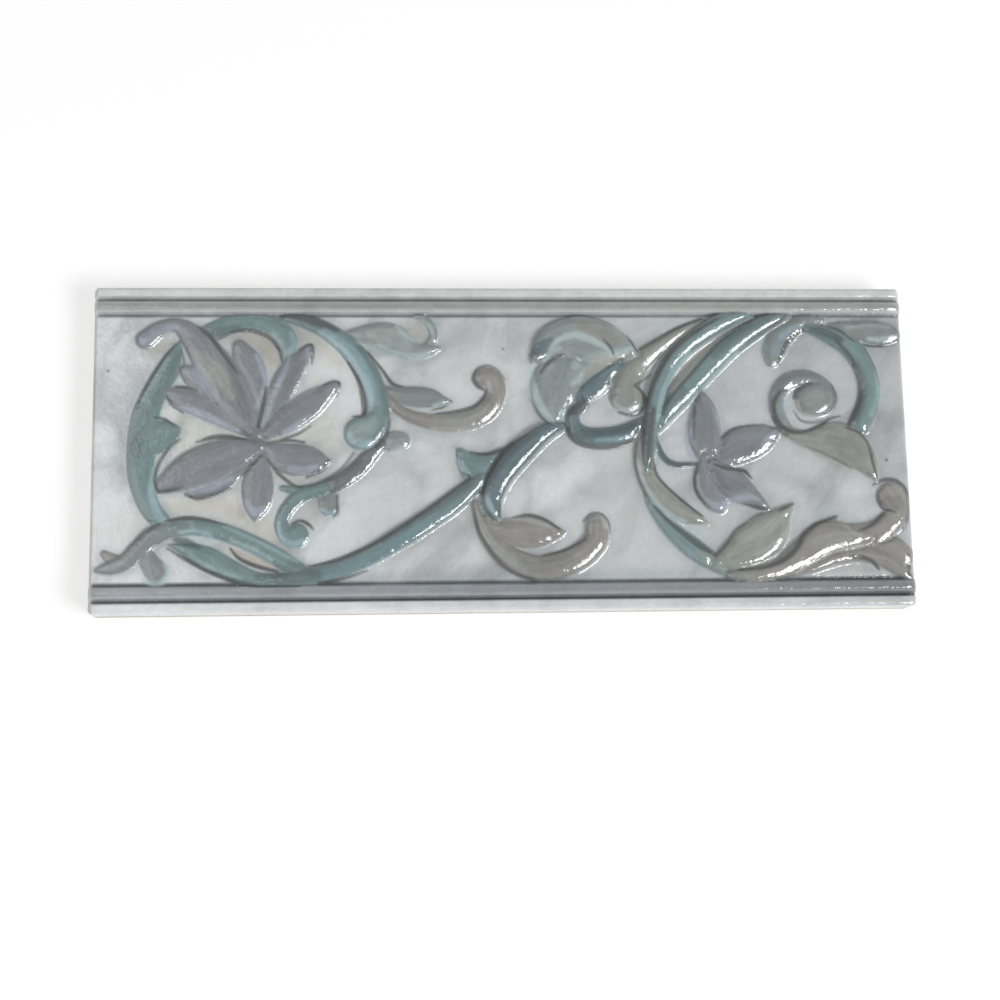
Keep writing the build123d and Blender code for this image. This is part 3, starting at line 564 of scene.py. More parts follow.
pale(SAGE, (86, 29.8, 0.3), (92, 30.4, 0.4), (97, 30, 0.3), strength=0.5)
pale(OLIVE, (72.3, 10.8, 0.35), (73.4, 8, 0.5), (76.2, 6.9, 0.5), (78.4, 7.2, 0.2))
pale(OLIVE, (71.6, 0.4, 0.25), (78, -2.8, 0.45), (84, -5.8, 0.45), (89, -8.2, 0.2))
pale(SLATE, (69.2, 12, 0.25), (68.8, 9, 0.35), (70.2, 6, 0.25), strength=0.6)
dark((53, 31.6, 0.2), (47, 28.2, 0.42), (42, 24, 0.5), (38.2, 18.6, 0.45), (35.9, 13, 0.38),
     (34.6, 8, 0.38), (33.9, 3, 0.3), strength=0.8)
dark((70.4, 33.4, 0.2), (64, 32.4, 0.35), (59, 30, 0.35), (54, 26.4, 0.3), (50, 22.2, 0.3),
     (45, 16.7, 0.25), (41, 12.2, 0.28), (38.8, 9.2, 0.2), strength=0.75)
dark((70.6, 32.6, 0.35), (66, 29.4, 0.35), (62, 26.5, 0.28), (58.6, 23.8, 0.12), strength=0.7)
dark((36.2, -3.6, 0.2), (37, -7.4, 0.35), (40, -11, 0.35), (44, -14.6, 0.35), (47.8, -17.6, 0.2),
     strength=0.9)
dark((32, 2, 0.2), (31.6, -4, 0.2), (32.8, -9.4, 0.2), (35, -14, 0.25), strength=0.45)
dark((36, -15.2, 0.2), (39, -18.6, 0.45), (43, -22, 0.7), (47, -25.2, 0.75), (50.4, -27.2, 0.3),
     strength=0.75)
dark((37.4, 0.4, 0.12), (39, -3.2, 0.2), (42, -4.9, 0.22), (46.6, -4.6, 0.25), strength=0.6)
dark((75.2, 29.3, 0.2), (71.5, 27, 0.4), (69.6, 24, 0.4), (68.6, 20.8, 0.3))
dark((83, 26.4, 0.25), (86.4, 22.4, 0.38), (88.4, 17.5, 0.45), (88.6, 13, 0.48), (87.4, 9, 0.5),
     (85.2, 4.8, 0.45), strength=0.75)
dark((80, 30.4, 0.25), (84, 29.2, 0.3), (87.4, 26.6, 0.15))
dark((90.3, 24.6, 0.2), (92.4, 20, 0.2), (93.8, 15, 0.12), strength=0.5)
dark((90.4, 25.6, 0.25), (93, 25.3, 0.3), (96, 25.5, 0.25), (99, 26.8, 0.3))
dark((71, 14.6, 0.2), (68.4, 13.4, 0.42), (66.5, 10, 0.55), (67.2, 6, 0.65), (70, 3.5, 0.6),
     (73.5, 3.2, 0.45), (77.5, 4.6, 0.42), (80.5, 6.6, 0.32), (83.4, 7.4, 0.12), strength=0.85)
dark((71.9, 11.8, 0.2), (72.6, 13.9, 0.42), (75, 15.3, 0.35), (76.6, 15.6, 0.12), strength=0.8)
dark((81.6, 15.4, 0.15), (82.5, 12.5, 0.4), (81.7, 9.6, 0.38), (80.8, 8.5, 0.15), strength=0.7)
dark((71.8, 8.6, 0.1), (73.4, 6.3, 0.25), (76.5, 5.7, 0.25), (78.8, 6.3, 0.15), strength=0.6)
dark((84.6, 4.2, 0.25), (88, 2.8, 0.35), (89.9, 0, 0.38), (90.6, -4, 0.34), (91.4, -8.2, 0.25),
     strength=0.8)
dark((74, -0.2, 0.08), (80, -3, 0.14), (85.4, -5.8, 0.1), strength=0.5)
dark((65, 4.9, 0.2), (67.4, 4, 0.3), (69.6, 2.4, 0.3), strength=0.5)
print(len(strokes), "strokes with the big right scroll")

# %% The lower right stem
stroke(OLIVE, 1, (50.6, -29, 1.2), (57, -26.6, 4.5), (62.8, -22.6, 5.3), (67.2, -17.9, 2.4),
       (70.2, -14.8, 0.3))
stroke(TAUPE, 0, (88, -25.6, 1.6), (94, -25.6, 3), (98, -27.6, 2.2))
stroke(TAUPE, 2, (84, -22.8, 3), (89.5, -22.2, 2.9), (94.2, -19.6, 2.9), (96.8, -16, 2.5),
       (95.2, -12.8, 3.4), press=0.7)
stroke(TAUPE, 2, (54, -32.2, 1), (60.6, -32.1, 1.9), (67, -30.3, 2.5), (73, -26.4, 3.5),
       (78.5, -23.2, 4), (84, -23, 2.9), (88.6, -23.2, 1.2))
stroke(TAUPE, 0, (73, -25, 2), (77.2, -21.6, 2.6), (79.8, -19.2, 1.2), (81.2, -17.8, 0.3))
stroke(TAUPE, 1, (68, -32.4, 0.6), (74.6, -30.2, 1.4), (80, -28.2, 1.8), (86, -27.3, 1.9),
       (91, -28.2, 2), (95.4, -30.6, 1.8), (98.8, -33.2, 0.8))
patch(OLIVE.pale, 0.3, (57, -23.6, 1), (63.6, -20, 1.8), (67.6, -16.8, 0.7))
patch(tone(134, 144, 140), 0.7, (46.4, -27, 0.9), (51.6, -30, 1.6), (58, -32, 1))
patch(tone(152, 153, 149), 0.4, (75, -25.4, 0.8), (80, -23.6, 1.6), (86, -22.8, 0.9))
patch(tone(122, 122, 120), 0.5, (95.2, -13.2, 1.6), (96, -14.8, 1.6))
patch(BEIGE, 0.4, (93.6, -12, 0.8), (95.6, -11.6, 1.4))
patch(tone(168, 170, 168), 0.8, (77, -31, 0.2), (82.6, -30.4, 0.9), (88, -30.8, 0.7), (90, -31.6, 0.2))
pale(OLIVE, (60.6, -27.4, 0.4), (66.6, -24, 0.8), (70, -19.4, 0.6), (69.6, -16.2, 0.2), strength=0.5)
pale(TAUPE, (81.6, -18.8, 0.3), (84.4, -22, 0.35), (86.6, -22.8, 0.15), strength=0.5)
pale(TAUPE, (73, -29.8, 0.35), (79.4, -26.4, 0.5), (86.6, -25.6, 0.35), strength=0.6)
dark((50.4, -27.5, 0.28), (53.5, -24.6, 0.25), (56, -20.8, 0.2), (58.8, -19.4, 0.08), strength=0.65)
dark((66.4, -16.6, 0.1), (68.5, -15.6, 0.28), (70.3, -14.7, 0.3))
dark((56, -31, 0.2), (62, -30.5, 0.32), (67, -28.8, 0.5), (70.5, -25.8, 0.6), (72.5, -22.6, 0.5),
     (75.5, -20, 0.45), (78.5, -18.9, 0.35), (81.2, -17.9, 0.15), strength=0.85)
dark((86, -21.8, 0.15), (89.5, -20.2, 0.42), (92.7, -17.4, 0.35))
dark((95.4, -17, 0.15), (92.8, -15.9, 0.35), (91.6, -13.4, 0.32), (91.8, -11.4, 0.12))
dark((90.8, -10, 0.2), (93.5, -8.8, 0.42), (96.5, -9.1, 0.5), (98.8, -11.5, 0.5), (99.3, -15.5, 0.5),
     (98.6, -19, 0.4), (97.4, -21.4, 0.15), strength=0.75)
dark((81, -28.5, 0.1), (85.5, -28, 0.38), (89, -29, 0.38), (91, -31, 0.25), strength=0.8)
dark((98.3, -27.8, 0.35), (98.5, -30.5, 0.5), (98.2, -33, 0.35), strength=0.75)
dark((91, -25, 0.1), (94, -24.2, 0.2), (96.4, -22.6, 0.1), strength=0.5)
print(len(strokes), "strokes with the lower right stem")

# %% The right flower
stroke(LILAC, 2, (49.7, -4.6, 1.5), (49.2, 2, 4), (49.3, 8, 3.2), (48.9, 12, 1.3), (48.7, 13.6, 0.3),
       press=0.8)
stroke(LILAC, 1, (50.2, -4.2, 1.5), (56, -0.8, 4.2), (62, 1.2, 3.8), (66, 2.8, 1.6), (67.8, 3.5, 0.3),
       press=0.85)
stroke(LILAC, 2, (49.4, -3.4, 1.5), (49.8, -9, 3.8), (51.2, -13.4, 3), (52.6, -16.6, 0.4), press=0.85)
stroke(LILAC, 3, (50.6, -5, 1.5), (55.5, -9.8, 3.6), (60, -13, 2.3), (63.4, -15.4, 0.9),
       (65, -16.2, 0.2), press=0.85)
patch(LILAC.deep, 0.25, (50, -1, 0.8), (49.6, 5, 1.8), (49.2, 10, 0.8))
patch(LILAC.deep, 0.25, (51.6, -3, 0.8), (56.6, -1.6, 1.8), (62, 0.6, 0.9))
patch(LILAC.deep, 0.35, (51, -6.6, 0.8), (53, -9.4, 1.8), (57.6, -10.6, 0.9))
pale(LILAC, (46.3, 10.4, 0.25), (45.2, 5, 0.6), (44.9, 0, 0.7), (46.2, -4, 0.3))
pale(LILAC, (51.6, 9, 0.25), (52.9, 5, 0.5), (53.4, 2.4, 0.3), strength=0.6)
pale(LILAC, (63.6, 0, 0.6), (65.4, 2, 0.7), (66.6, 3.4, 0.3))
pale(LILAC, (48.4, -13.4, 0.3), (51.4, -15.4, 0.8), (54.6, -14.4, 0.8), (58.6, -13.1, 0.7),
     (61.8, -13.8, 0.3))
pale(LILAC, (47, -7, 0.3), (46.8, -10, 0.4), (47.8, -12.6, 0.3), strength=0.5)
dark((46.9, 9.8, 0.12), (46.5, 6, 0.25), (46.2, 1, 0.12), strength=0.6)
dark((53.2, 1.8, 0.25), (56, 4, 0.35), (59.5, 4.9, 0.25), (64.4, 5.2, 0.12))
dark((51, -5, 0.25), (54.5, -6, 0.5), (58.5, -6.3, 0.42), (60.4, -8.2, 0.15), strength=0.9)
dark((46.9, -5.2, 0.2), (46.1, -9, 0.3), (46.7, -12, 0.25), (48.5, -14.6, 0.1), strength=0.7)
dark((58.4, -14.8, 0.12), (61.5, -15.6, 0.32), (64.6, -16.5, 0.25))
dark((48.6, 13.8, 0.3), (47, 11.4, 0.2), strength=0.6)
print(len(strokes), "strokes and", len(touches), "touches of the brush")

# %% [markdown]
# ## Measuring a stroke
#
# Everything about a stroke follows from one question: how deep inside it does a point of the face lie?
# A smooth line is drawn through the stroke's points, and for every nearby point of the face the widest
# fit along that line is kept, with how far along and how far across the stroke it is. Numpy does this
# for a whole block of the face at once, which a node tree of this many strokes could not show as
# plainly.

# %% Depth inside a stroke
end_radius = 1.2
end_distance = end_radius * (1 - np.cos(np.radians([0, 18, 36, 54, 72, 90])))
row_x = np.linspace(half_length - end_radius, -half_length + end_radius, row_count - 10)
row_x = np.concatenate([half_length - end_distance[:5], row_x, end_distance[4::-1] - half_length])
Near = namedtuple("Near", "block inside along across width")


def spine_of(points, pitch=0.8):
    """Points close together on a smooth line through the given ones, each with its half width."""
    given = np.array(points, float)
    ends = np.vstack([2 * given[0] - given[1], given, 2 * given[-1] - given[-2]])
    line = []
    for before, start, end, after in zip(ends, ends[1:], ends[2:], ends[3:]):
        count = max(2, math.ceil(math.dist(start[:2], end[:2]) / pitch))
        for t in np.arange(count) / count:
            curve = (2 * before - 5 * start + 4 * end - after) * t ** 2
            curve += (3 * start - before - 3 * end + after) * t ** 3
            line.append((2 * start + (end - before) * t + curve) / 2)
    line = np.array(line + [given[-1]])
    line[:, 2] = np.maximum(line[:, 2], 0.05)
    return line


def measure(points, margin):
    """The block of the face round a stroke, with the depth inside it and the place along and across it."""
    line = spine_of(points)
    reach = line[:, 2].max() + margin
    rows = np.flatnonzero((row_x > line[:, 0].min() - reach) & (row_x < line[:, 0].max() + reach))
    columns = np.flatnonzero((face_y > line[:, 1].min() - reach) & (face_y < line[:, 1].max() + reach))
    block = (slice(rows[0], rows[-1] + 1), slice(columns[0], columns[-1] + 1))
    x = row_x[block[0]][:, None]
    y = face_y[block[1]][None, :]
    inside = np.full((len(rows), len(columns)), -1000.0)
    along, across, width = np.zeros((3,) + inside.shape)
    run = 0.0
    for (start_x, start_y, start_w), (end_x, end_y, end_w) in zip(line, line[1:]):
        step_x = end_x - start_x
        step_y = end_y - start_y
        step = math.hypot(step_x, step_y)
        share = np.clip(((x - start_x) * step_x + (y - start_y) * step_y) / step ** 2, 0, 1)
        off_x = x - start_x - share * step_x
        off_y = y - start_y - share * step_y
        half = start_w + share * (end_w - start_w)
        depth = half - np.hypot(off_x, off_y)
        deeper = depth > inside
        inside = np.where(deeper, depth, inside)
        along = np.where(deeper, run + share * step, along)
        across = np.where(deeper, (step_x * off_y - step_y * off_x) / step, across)
        width = np.where(deeper, half, width)
        run += step
    return Near(block, inside, along, across, width)


strokes.sort(key=lambda one: one.layer)
shadow_reach = 3.5  # how far the tint beside a stroke runs out over the ground
stroke_fits = [measure(one.points, shadow_reach + 0.1) for one in strokes]
touch_fits = [measure(one.points, one.soft) for one in touches]
print("measured", len(stroke_fits), "strokes on", row_count, "rows and", face_count, "columns")

# %% [markdown]
# ## Raising the relief
#
# In the mould every stroke is a shallow hollow, so on the tile it stands up as a low, flat-topped
# ridge: level over its spine, sloping for a millimetre or two along its edge and steep at the foot.
# Where one stroke crosses another the upper one is cut clear of the lower, which leaves the small
# valley that the glaze later gathers in. The dark brush lines follow shallow incised lines, and a light
# blur stands for the thickness of the glaze, which rounds every edge.

# %% Ridges, valleys and incised lines
lowest_crown = 0.9
layer_step = 0.425
edge_slope = 0.46
edge_width = 2.2
line_depth = 0.1
valley_share = 0.45
pressed = 0.5 + 0.5 * smoothstep(-75, 5, row_x)  # the relief is flatter towards the left end
relief = np.zeros((row_count, face_count))
for one, fit in zip(strokes, stroke_fits):
    crown = (lowest_crown + layer_step * one.layer) * (0.3 + 0.7 * smoothstep(0, 1.5, fit.width))
    press = one.press * pressed[fit.block[0]][:, None]
    crown = crown * press
    reach = np.clip(fit.width, 0.6, edge_width)
    slope = np.minimum(edge_slope * press, 0.7 * crown / (0.8 * reach))
    share = np.clip(fit.inside / reach, 0, 1)
    inward = reach * (share - share ** 5 / 5)
    foot = crown - 0.8 * slope * reach
    ridge = foot * smoothstep(-0.35, 0.25, fit.inside) + slope * inward
    valley = valley_share if one.layer else 0.0
    beside = 1 - valley * (1 - smoothstep(0, 1.3, -fit.inside))
    relief[fit.block] = np.maximum(ridge, relief[fit.block] * beside)
for one, fit in zip(touches, touch_fits):
    if one.colour is DARK:
        cut = line_depth * one.strength * smoothstep(-0.4, 0.3, fit.inside)
        relief[fit.block] -= cut * smoothstep(0.1, 0.6, relief[fit.block])


def soften(values):
    """One light blur along the rows and the columns."""
    for axis in (0, 1):
        middle = np.swapaxes(values, 0, axis)
        middle[1:-1] = (middle[:-2] + 2 * middle[1:-1] + middle[2:]) / 4
    return values


relief *= smoothstep(33.6, 33.1, face_y)  # the upper border cuts the strokes off
relief = soften(np.maximum(relief, 0))
plain = np.broadcast_to(moulding_height(face_y), relief.shape)
raised = np.maximum(ground_height + relief - plain, 0) * smoothstep(0, 0.3, relief)
over_end = np.clip(np.abs(row_x) - (half_length - end_radius), 0, end_radius)
end_drop = end_radius - np.sqrt(end_radius ** 2 - over_end ** 2)
place[:, :, 0] = row_x[:, None]
# The relief sinks a little towards the two ends
end_taper = 1 - 0.4 * smoothstep(half_length - 3, half_length, np.abs(row_x))
rise = np.minimum(plain + raised, tile_height) - ground_height
face[:, :, 2] = ground_height + rise * end_taper[:, None] - end_drop[:, None]
print(f"relief up to {relief.max():.2f} mm above the ground")

# %% Rounded plan corners
corner_radius = 1.0
over_x = np.clip(np.abs(place[:, :, 0]) - (half_length - corner_radius), 0, None)
over_y = np.clip(np.abs(place[:, :, 1]) - (half_width - corner_radius), 0, None)
pull = np.maximum(over_x, over_y) / np.maximum(np.hypot(over_x, over_y), 1e-6)
pull = np.where((over_x > 0) & (over_y > 0), 1 - pull, 0)
place[:, :, 0] -= np.sign(place[:, :, 0]) * over_x * pull
place[:, :, 1] -= np.sign(place[:, :, 1]) * over_y * pull
tile_mesh.vertices.foreach_set("co", (place * MM).astype(np.float32).ravel())
print(f"plan corners rounded to {corner_radius} mm")

# %% [markdown]
# ## Painting
#
# The painter lays a thin wash over each raised part, lets it gather dark along the edges, then adds
# pale touches and dark lines. The same is done here on the points of the face, one stroke after another
# in the order they overlap, and kept as a colour attribute. The darker edges are partly that outline and
# partly painted shade at each ridge's foot, the crown of each ridge is painted lighter as painted light,
# and the ground gets a painted shadow round every stroke and is painted darker towards the right end.
# Two more attributes help the glaze: where a point lies along its brush stroke, so that streaks can
# follow it, and where the glaze ends on the sides.

# %% Ground and border bands
GROUND = tone(204, 208, 208)
# the second ground tone is painted shade for the right end of the field
GROUND_FAR_SHADE = tone(180, 184, 186)
SHADOW = tone(150, 158, 161)
upper_tones = ((32.5, GROUND), (33.1, tone(100, 103, 103)), (33.5, tone(168, 171, 172)),
               (33.9, tone(190, 194, 194)), (34.5, tone(160, 165, 161)),
               (35.1, tone(148, 153, 149)), (35.9, tone(172, 177, 174)),
               (36.4, tone(160, 165, 162)), (36.8, tone(96, 99, 98)), (37.3, tone(170, 172, 172)),
               (37.75, tone(206, 209, 208)), (40, tone(208, 211, 210)))
lower_tones = ((32.5, GROUND), (33.1, tone(88, 91, 92)), (33.7, tone(138, 142, 145)),
               (34.3, tone(174, 178, 182)), (34.9, tone(156, 161, 165)),
               (35.6, tone(150, 156, 160)), (36.3, tone(174, 178, 181)),
               (36.85, tone(140, 144, 147)), (37.2, tone(96, 98, 101)), (37.75, tone(214, 218, 220)),
               (40, tone(224, 228, 230)))


def across_bands(tones):
    """The tones joined up across the border, for every column of the face."""
    places = [distance for distance, shade in tones]
    channels = np.transpose([shade for distance, shade in tones])
    return np.stack([np.interp(np.abs(face_y), places, channel) for channel in channels], axis=1)


band = np.where(face_y[:, None] > 0, across_bands(upper_tones), across_bands(lower_tones))
# Painted shade: the field is painted darker towards the right end, as if the light fell off across the
# tile.
shade_to_right = smoothstep(-60, 70, row_x)[:, None, None]
in_field = smoothstep(32.9, 32.4, np.abs(face_y))[None, :, None]
below = smoothstep(-32.5, -33, face_y)[None, :, None]
colour = band + (GROUND_FAR_SHADE - GROUND) * shade_to_right * in_field
# Painted shade: the lower border is painted darker towards the right end.
below_shade = below * (0.12 + 0.07 * smoothstep(-37.9, -37.4, face_y)[None, :, None])
colour *= 1 - below_shade * (row_x / half_length + 1)[:, None, None] / 2
from_left = smoothstep(-half_length + 0.5, -half_length + 1.3, row_x)[:, None, None]
colour = GROUND + (colour - GROUND) * from_left
border = colour.copy()
painted = np.zeros((row_count, face_count))
painted += 0.7 * smoothstep(field_half, field_half + 1, np.abs(face_y))
brush = np.zeros((row_count, face_count, 3))
brush[:, :, 0] = row_x[:, None]
brush[:, :, 1] = face_y[None, :]


def lay(block, paint, cover):
    """Paint over what is there, as far as the cover goes."""
    colour[block] += (paint - colour[block]) * cover[:, :, None]


# %% Clouds, strokes, then touches
shadow_strength = 0.3
# painted shade along each stroke's edges, partly outline, and painted light on its crown
edge_outline_and_shade = 0.2
crown_painted_light = 0.14
for one in washes:
    fit = measure(one.points, one.soft)
    lay(fit.block, one.colour, one.strength * smoothstep(-one.soft, one.soft * 0.7, fit.inside))
for one, fit in zip(strokes, stroke_fits):
    lay(fit.block, SHADOW, shadow_strength * smoothstep(-shadow_reach, 0, fit.inside) ** 2)
for number, (one, fit) in enumerate(zip(strokes, stroke_fits)):
    cover = smoothstep(-0.25, 0.3, fit.inside)
    # each stroke is painted darker near its edges, partly the painter's outline and partly painted shade,
    # and lighter along its crown as painted light on the raised top
    edge = 1 - smoothstep(0, 0.9, fit.inside)
    crown = smoothstep(0.5, 1.0, fit.inside / np.maximum(fit.width, 0.6))
    coat = one.paint.body + (one.paint.deep - one.paint.body) * (edge_outline_and_shade * edge)[:, :, None]
    coat = coat + (one.paint.pale - coat) * (crown_painted_light * crown)[:, :, None]
    lay(fit.block, coat, cover)
    painted[fit.block] = np.maximum(painted[fit.block], cover)
    own = fit.inside > 0
    place_on_brush = np.stack([fit.along, fit.across, np.full(own.shape, 7.3 * (number + 1))], axis=2)
    brush[fit.block] = np.where(own[:, :, None], place_on_brush, brush[fit.block])
for one, fit in zip(touches, touch_fits):
    lay(fit.block, one.colour, one.strength * smoothstep(-one.soft, 0.6 * one.soft, fit.inside))
colour += (border - colour) * smoothstep(32.9, 33.3, face_y)[None, :, None]
print(f"painted {100 * (painted[:, 12:-12] > 0.5).mean():.0f} percent of the field")

# %% Paint as attributes of the mesh
point_count = row_count * len(section)
all_colour = np.ones((row_count, len(section), 4), np.float32)
all_colour[:, :, :3] = tone(204, 207, 206)
all_colour[:, :, 3] = 0
all_colour[:, :face_count, :3] = colour
all_colour[:, :face_count, 3] = painted
light = all_colour[:, :, :3]
all_colour[:, :, :3] = np.where(light <= 0.04045, light / 12.92, ((light + 0.055) / 1.055) ** 2.4)
all_brush = np.zeros((row_count, len(section), 3), np.float32)
all_brush[:, :face_count] = brush
glazed = np.ones((row_count, len(section)), np.float32)
glazed[:, face_count + 1:-1] = 0
tile_mesh.attributes.new("paint", "FLOAT_COLOR", "POINT").data.foreach_set("color", all_colour.ravel())
tile_mesh.attributes.new("brush", "FLOAT_VECTOR", "POINT").data.foreach_set("vector", all_brush.ravel())
tile_mesh.attributes.new("glazed", "FLOAT", "POINT").data.foreach_set("value", glazed.ravel())
print("attributes:", [layer.name for layer in tile_mesh.attributes])

# %% [markdown]
# ## Clearing the straight parts
#
# The border, the sides and the back are straight along the tile, so most of their cross-rows carry no
# shape. A limited dissolve takes those out again and leaves the points for the scroll.

# %% Dissolve, normals and smooth shading
shape = bmesh.new()
shape.from_mesh(tile_mesh)
shape.verts.ensure_lookup_table()
column = np.arange(point_count) % len(section)
field_low = int(np.searchsorted(face_y, -field_half - 1.4))
field_high = int(np.searchsorted(face_y, field_half + 1.4))
straight = (column < field_low) | (column >= field_high)
row_number = np.arange(point_count) // len(section)
straight &= (row_number > 5) & (row_number < row_count - 6)
loose_verts = [shape.verts[i] for i in np.flatnonzero(straight)]
loose = set(loose_verts)
cross_edges = [edge for edge in shape.edges if edge.verts[0] in loose and edge.verts[1] in loose
               and abs(edge.verts[0].co.x - edge.verts[1].co.x) < 1e-7]
bmesh.ops.dissolve_limit(shape, angle_limit=math.radians(0.2), verts=loose_verts, edges=cross_edges)
bmesh.ops.recalc_face_normals(shape, faces=shape.faces)
for edge in shape.edges:
    edge.smooth = edge.calc_face_angle(0) < math.radians(50)
for polygon in shape.faces:
    polygon.smooth = True
print(f"volume {shape.calc_volume() / MM ** 3:.0f} cubic mm")
shape.to_mesh(tile_mesh)
shape.free()
tile = bpy.data.objects.new("border_tile_glazed", tile_mesh)
bpy.context.scene.collection.objects.link(tile)
triangles = sum(len(polygon.vertices) - 2 for polygon in tile_mesh.polygons)
print("tile mesh:", len(tile_mesh.vertices), "vertices,", triangles, "triangles")

# %% [markdown]
# ## Glaze
#
# The finish is one coat: colour under a clear gloss. The colour attribute gives the drawing, streaks
# along each stroke give the hair of the brush, and a slow marbling over the ground gives the cloudy
# wash seen between the leaves. The gloss lies in the base layer with a ripple in its normal, because a
# hand-dipped glaze is never flat and its highlights break into small pieces. Below the glaze edge and
# on the back the same shader turns to bare clay.

# %% Shader sockets that do arithmetic
glaze.use_nodes = True
glaze_tree = glaze.node_tree
glaze_tree.nodes.clear()


class Socket:
    """A shader output that can be added, multiplied and mixed like a number."""

    def __init__(self, output):
        self.output = output

    @staticmethod
    def node(kind, settings=None, **inputs):
        """Any node: its settings first, then its inputs as values or links."""
        made = glaze_tree.nodes.new(kind)
        for name, value in (settings or {}).items():
            setattr(made, name, value)
        for name, value in inputs.items():
            key = int(name[1:]) if name[1:].isdigit() else name.replace("_", " ")
            Socket.feed(made.inputs[key], value)
        return made

    @staticmethod
    def feed(target, value):
        """A socket, a number or a colour into an input."""
        if isinstance(value, Socket):
            glaze_tree.links.new(value.output, target)
        else:
            target.default_value = value

    @staticmethod
    def maths(operation, first, second=0.0, third=0.0):
        """One Math node."""
        made = Socket.node("ShaderNodeMath", {"operation": operation}, _0=first, _1=second, _2=third)
        return Socket(made.outputs[0])

    def __add__(self, other):
        return Socket.maths("ADD", self, other)

    def __sub__(self, other):
        return Socket.maths("SUBTRACT", self, other)

    def __rsub__(self, other):
        return Socket.maths("SUBTRACT", other, self)

    def __mul__(self, other):
        return Socket.maths("MULTIPLY", self, other)

    __radd__ = __add__
    __rmul__ = __mul__

    def between(self, start, end, low=0.0, high=1.0):
        """This value from start to end, mapped smoothly onto low to high."""
        made = Socket.node("ShaderNodeMapRange", {"interpolation_type": "SMOOTHSTEP"}, Value=self,
                           From_Min=start, From_Max=end, To_Min=low, To_Max=high)
        return Socket(made.outputs[0])


def attribute(name, output):
    """A stored value of the mesh."""
    return Socket(Socket.node("ShaderNodeAttribute", {"attribute_name": name}).outputs[output])


def noise(vector, scale, detail=2.0, roughness=0.5, distortion=0.0):
    """Smooth noise from 0 to 1."""
    made = Socket.node("ShaderNodeTexNoise", Vector=vector, Scale=scale, Detail=detail, Roughness=roughness,
                       Distortion=distortion)
    return Socket(made.outputs[0])


def mix_colour(factor, first, second, blend="MIX"):
    """Two colours mixed by a factor."""
    made = Socket.node("ShaderNodeMix", {"data_type": "RGBA", "blend_type": blend}, _0=factor, _6=first,
                       _7=second)
    return Socket(made.outputs[2])


def scaled(vector, x, y, z):
    """A vector stretched along each axis."""
    made = Socket.node("ShaderNodeVectorMath", {"operation": "MULTIPLY"}, _0=vector, _1=(x, y, z))
    return Socket(made.outputs[0])


def linear(red, green, blue):
    """A colour in 0 to 255 steps as a shader colour."""
    steps = np.array([red, green, blue]) / 255
    steps = np.where(steps <= 0.04045, steps / 12.92, ((steps + 0.055) / 1.055) ** 2.4)
    return (*(float(step) for step in steps), 1.0)


# %% Colour of the glaze
spot = Socket(Socket.node("ShaderNodeTexCoord").outputs["Object"])
paint_colour = attribute("paint", "Color")
on_paint = attribute("paint", "Alpha")
on_brush = attribute("brush", "Vector")
has_glaze = attribute("glazed", "Fac").between(0.3, 0.7)

streaks = noise(scaled(on_brush, 0.15, 0.9, 1.0), 1.0, 4.0, 0.55)
mottle = noise(spot, 330.0, 3.0, 0.55)
marble = noise(spot, 46.0, 4.0, 0.62)
slanted = Socket.node("ShaderNodeMapping", {"vector_type": "TEXTURE"}, Vector=spot,
                      Rotation=(0, 0, math.radians(40)), Scale=(0.022, 0.013, 0.022))
smoke = noise(Socket(slanted.outputs[0]), 1.0, 3.5, 0.5, 0.7)
grain = noise(spot, 900.0, 2.0, 0.6)
streak_light = (streaks.between(0.3, 0.7, -0.07, 0.07) + mottle.between(0.3, 0.7, -0.05, 0.05)) * on_paint
cloud_light = marble.between(0.3, 0.66, -0.12, 0.06) + smoke.between(0.32, 0.6, -0.2, 0.11)
cloud_light = cloud_light * (1 - 0.85 * on_paint)
shade = 1 + streak_light + cloud_light + grain.between(0.2, 0.8, -0.03, 0.03)
shade_colour = Socket(Socket.node("ShaderNodeCombineColor", _0=shade, _1=shade, _2=shade).outputs[0])
washed = mix_colour(1.0, paint_colour, shade_colour, "MULTIPLY")
stain = noise(spot, 48.0, 3.0, 0.55).between(0.6, 0.78) * (1 - on_paint) * 0.35
washed = mix_colour(stain, washed, linear(178, 174, 164))
clay_cloud = mix_colour(marble, linear(206, 196, 180), linear(222, 214, 200))
finish_colour = mix_colour(has_glaze, clay_cloud, washed)

# %% Gloss and ripple
broad_ripple = noise(spot, 260.0, 2.0, 0.55)
fine_ripple = noise(spot, 1000.0, 2.0, 0.5)
ripple = broad_ripple * 0.75 + fine_ripple * 0.25 + streaks * on_paint * 0.25
clay_grain = noise(spot, 1800.0, 3.0, 0.6)
bump_height = ripple * has_glaze + clay_grain * (1 - has_glaze) * 0.3
bump = Socket(Socket.node("ShaderNodeBump", Strength=0.7, Distance=0.0005, Height=bump_height).outputs[0])
gloss = Socket.maths("ADD", 0.07, marble.between(0.3, 0.7, 0.0, 0.05))
clay_roughness = 0.85
glaze_ior = 1.8
roughness = gloss * has_glaze + clay_roughness * (1 - has_glaze)
surface = Socket.node("ShaderNodeBsdfPrincipled", Base_Color=finish_colour, Roughness=roughness,
                      Normal=bump, IOR=glaze_ior)
Socket.node("ShaderNodeOutputMaterial", Surface=Socket(surface.outputs[0]))
print("glaze shader of", len(glaze_tree.nodes), "nodes")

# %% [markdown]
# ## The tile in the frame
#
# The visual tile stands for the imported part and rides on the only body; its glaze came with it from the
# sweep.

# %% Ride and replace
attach(tile, "root")
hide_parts("border_tile")
print(tile.name, "stands for border_tile")

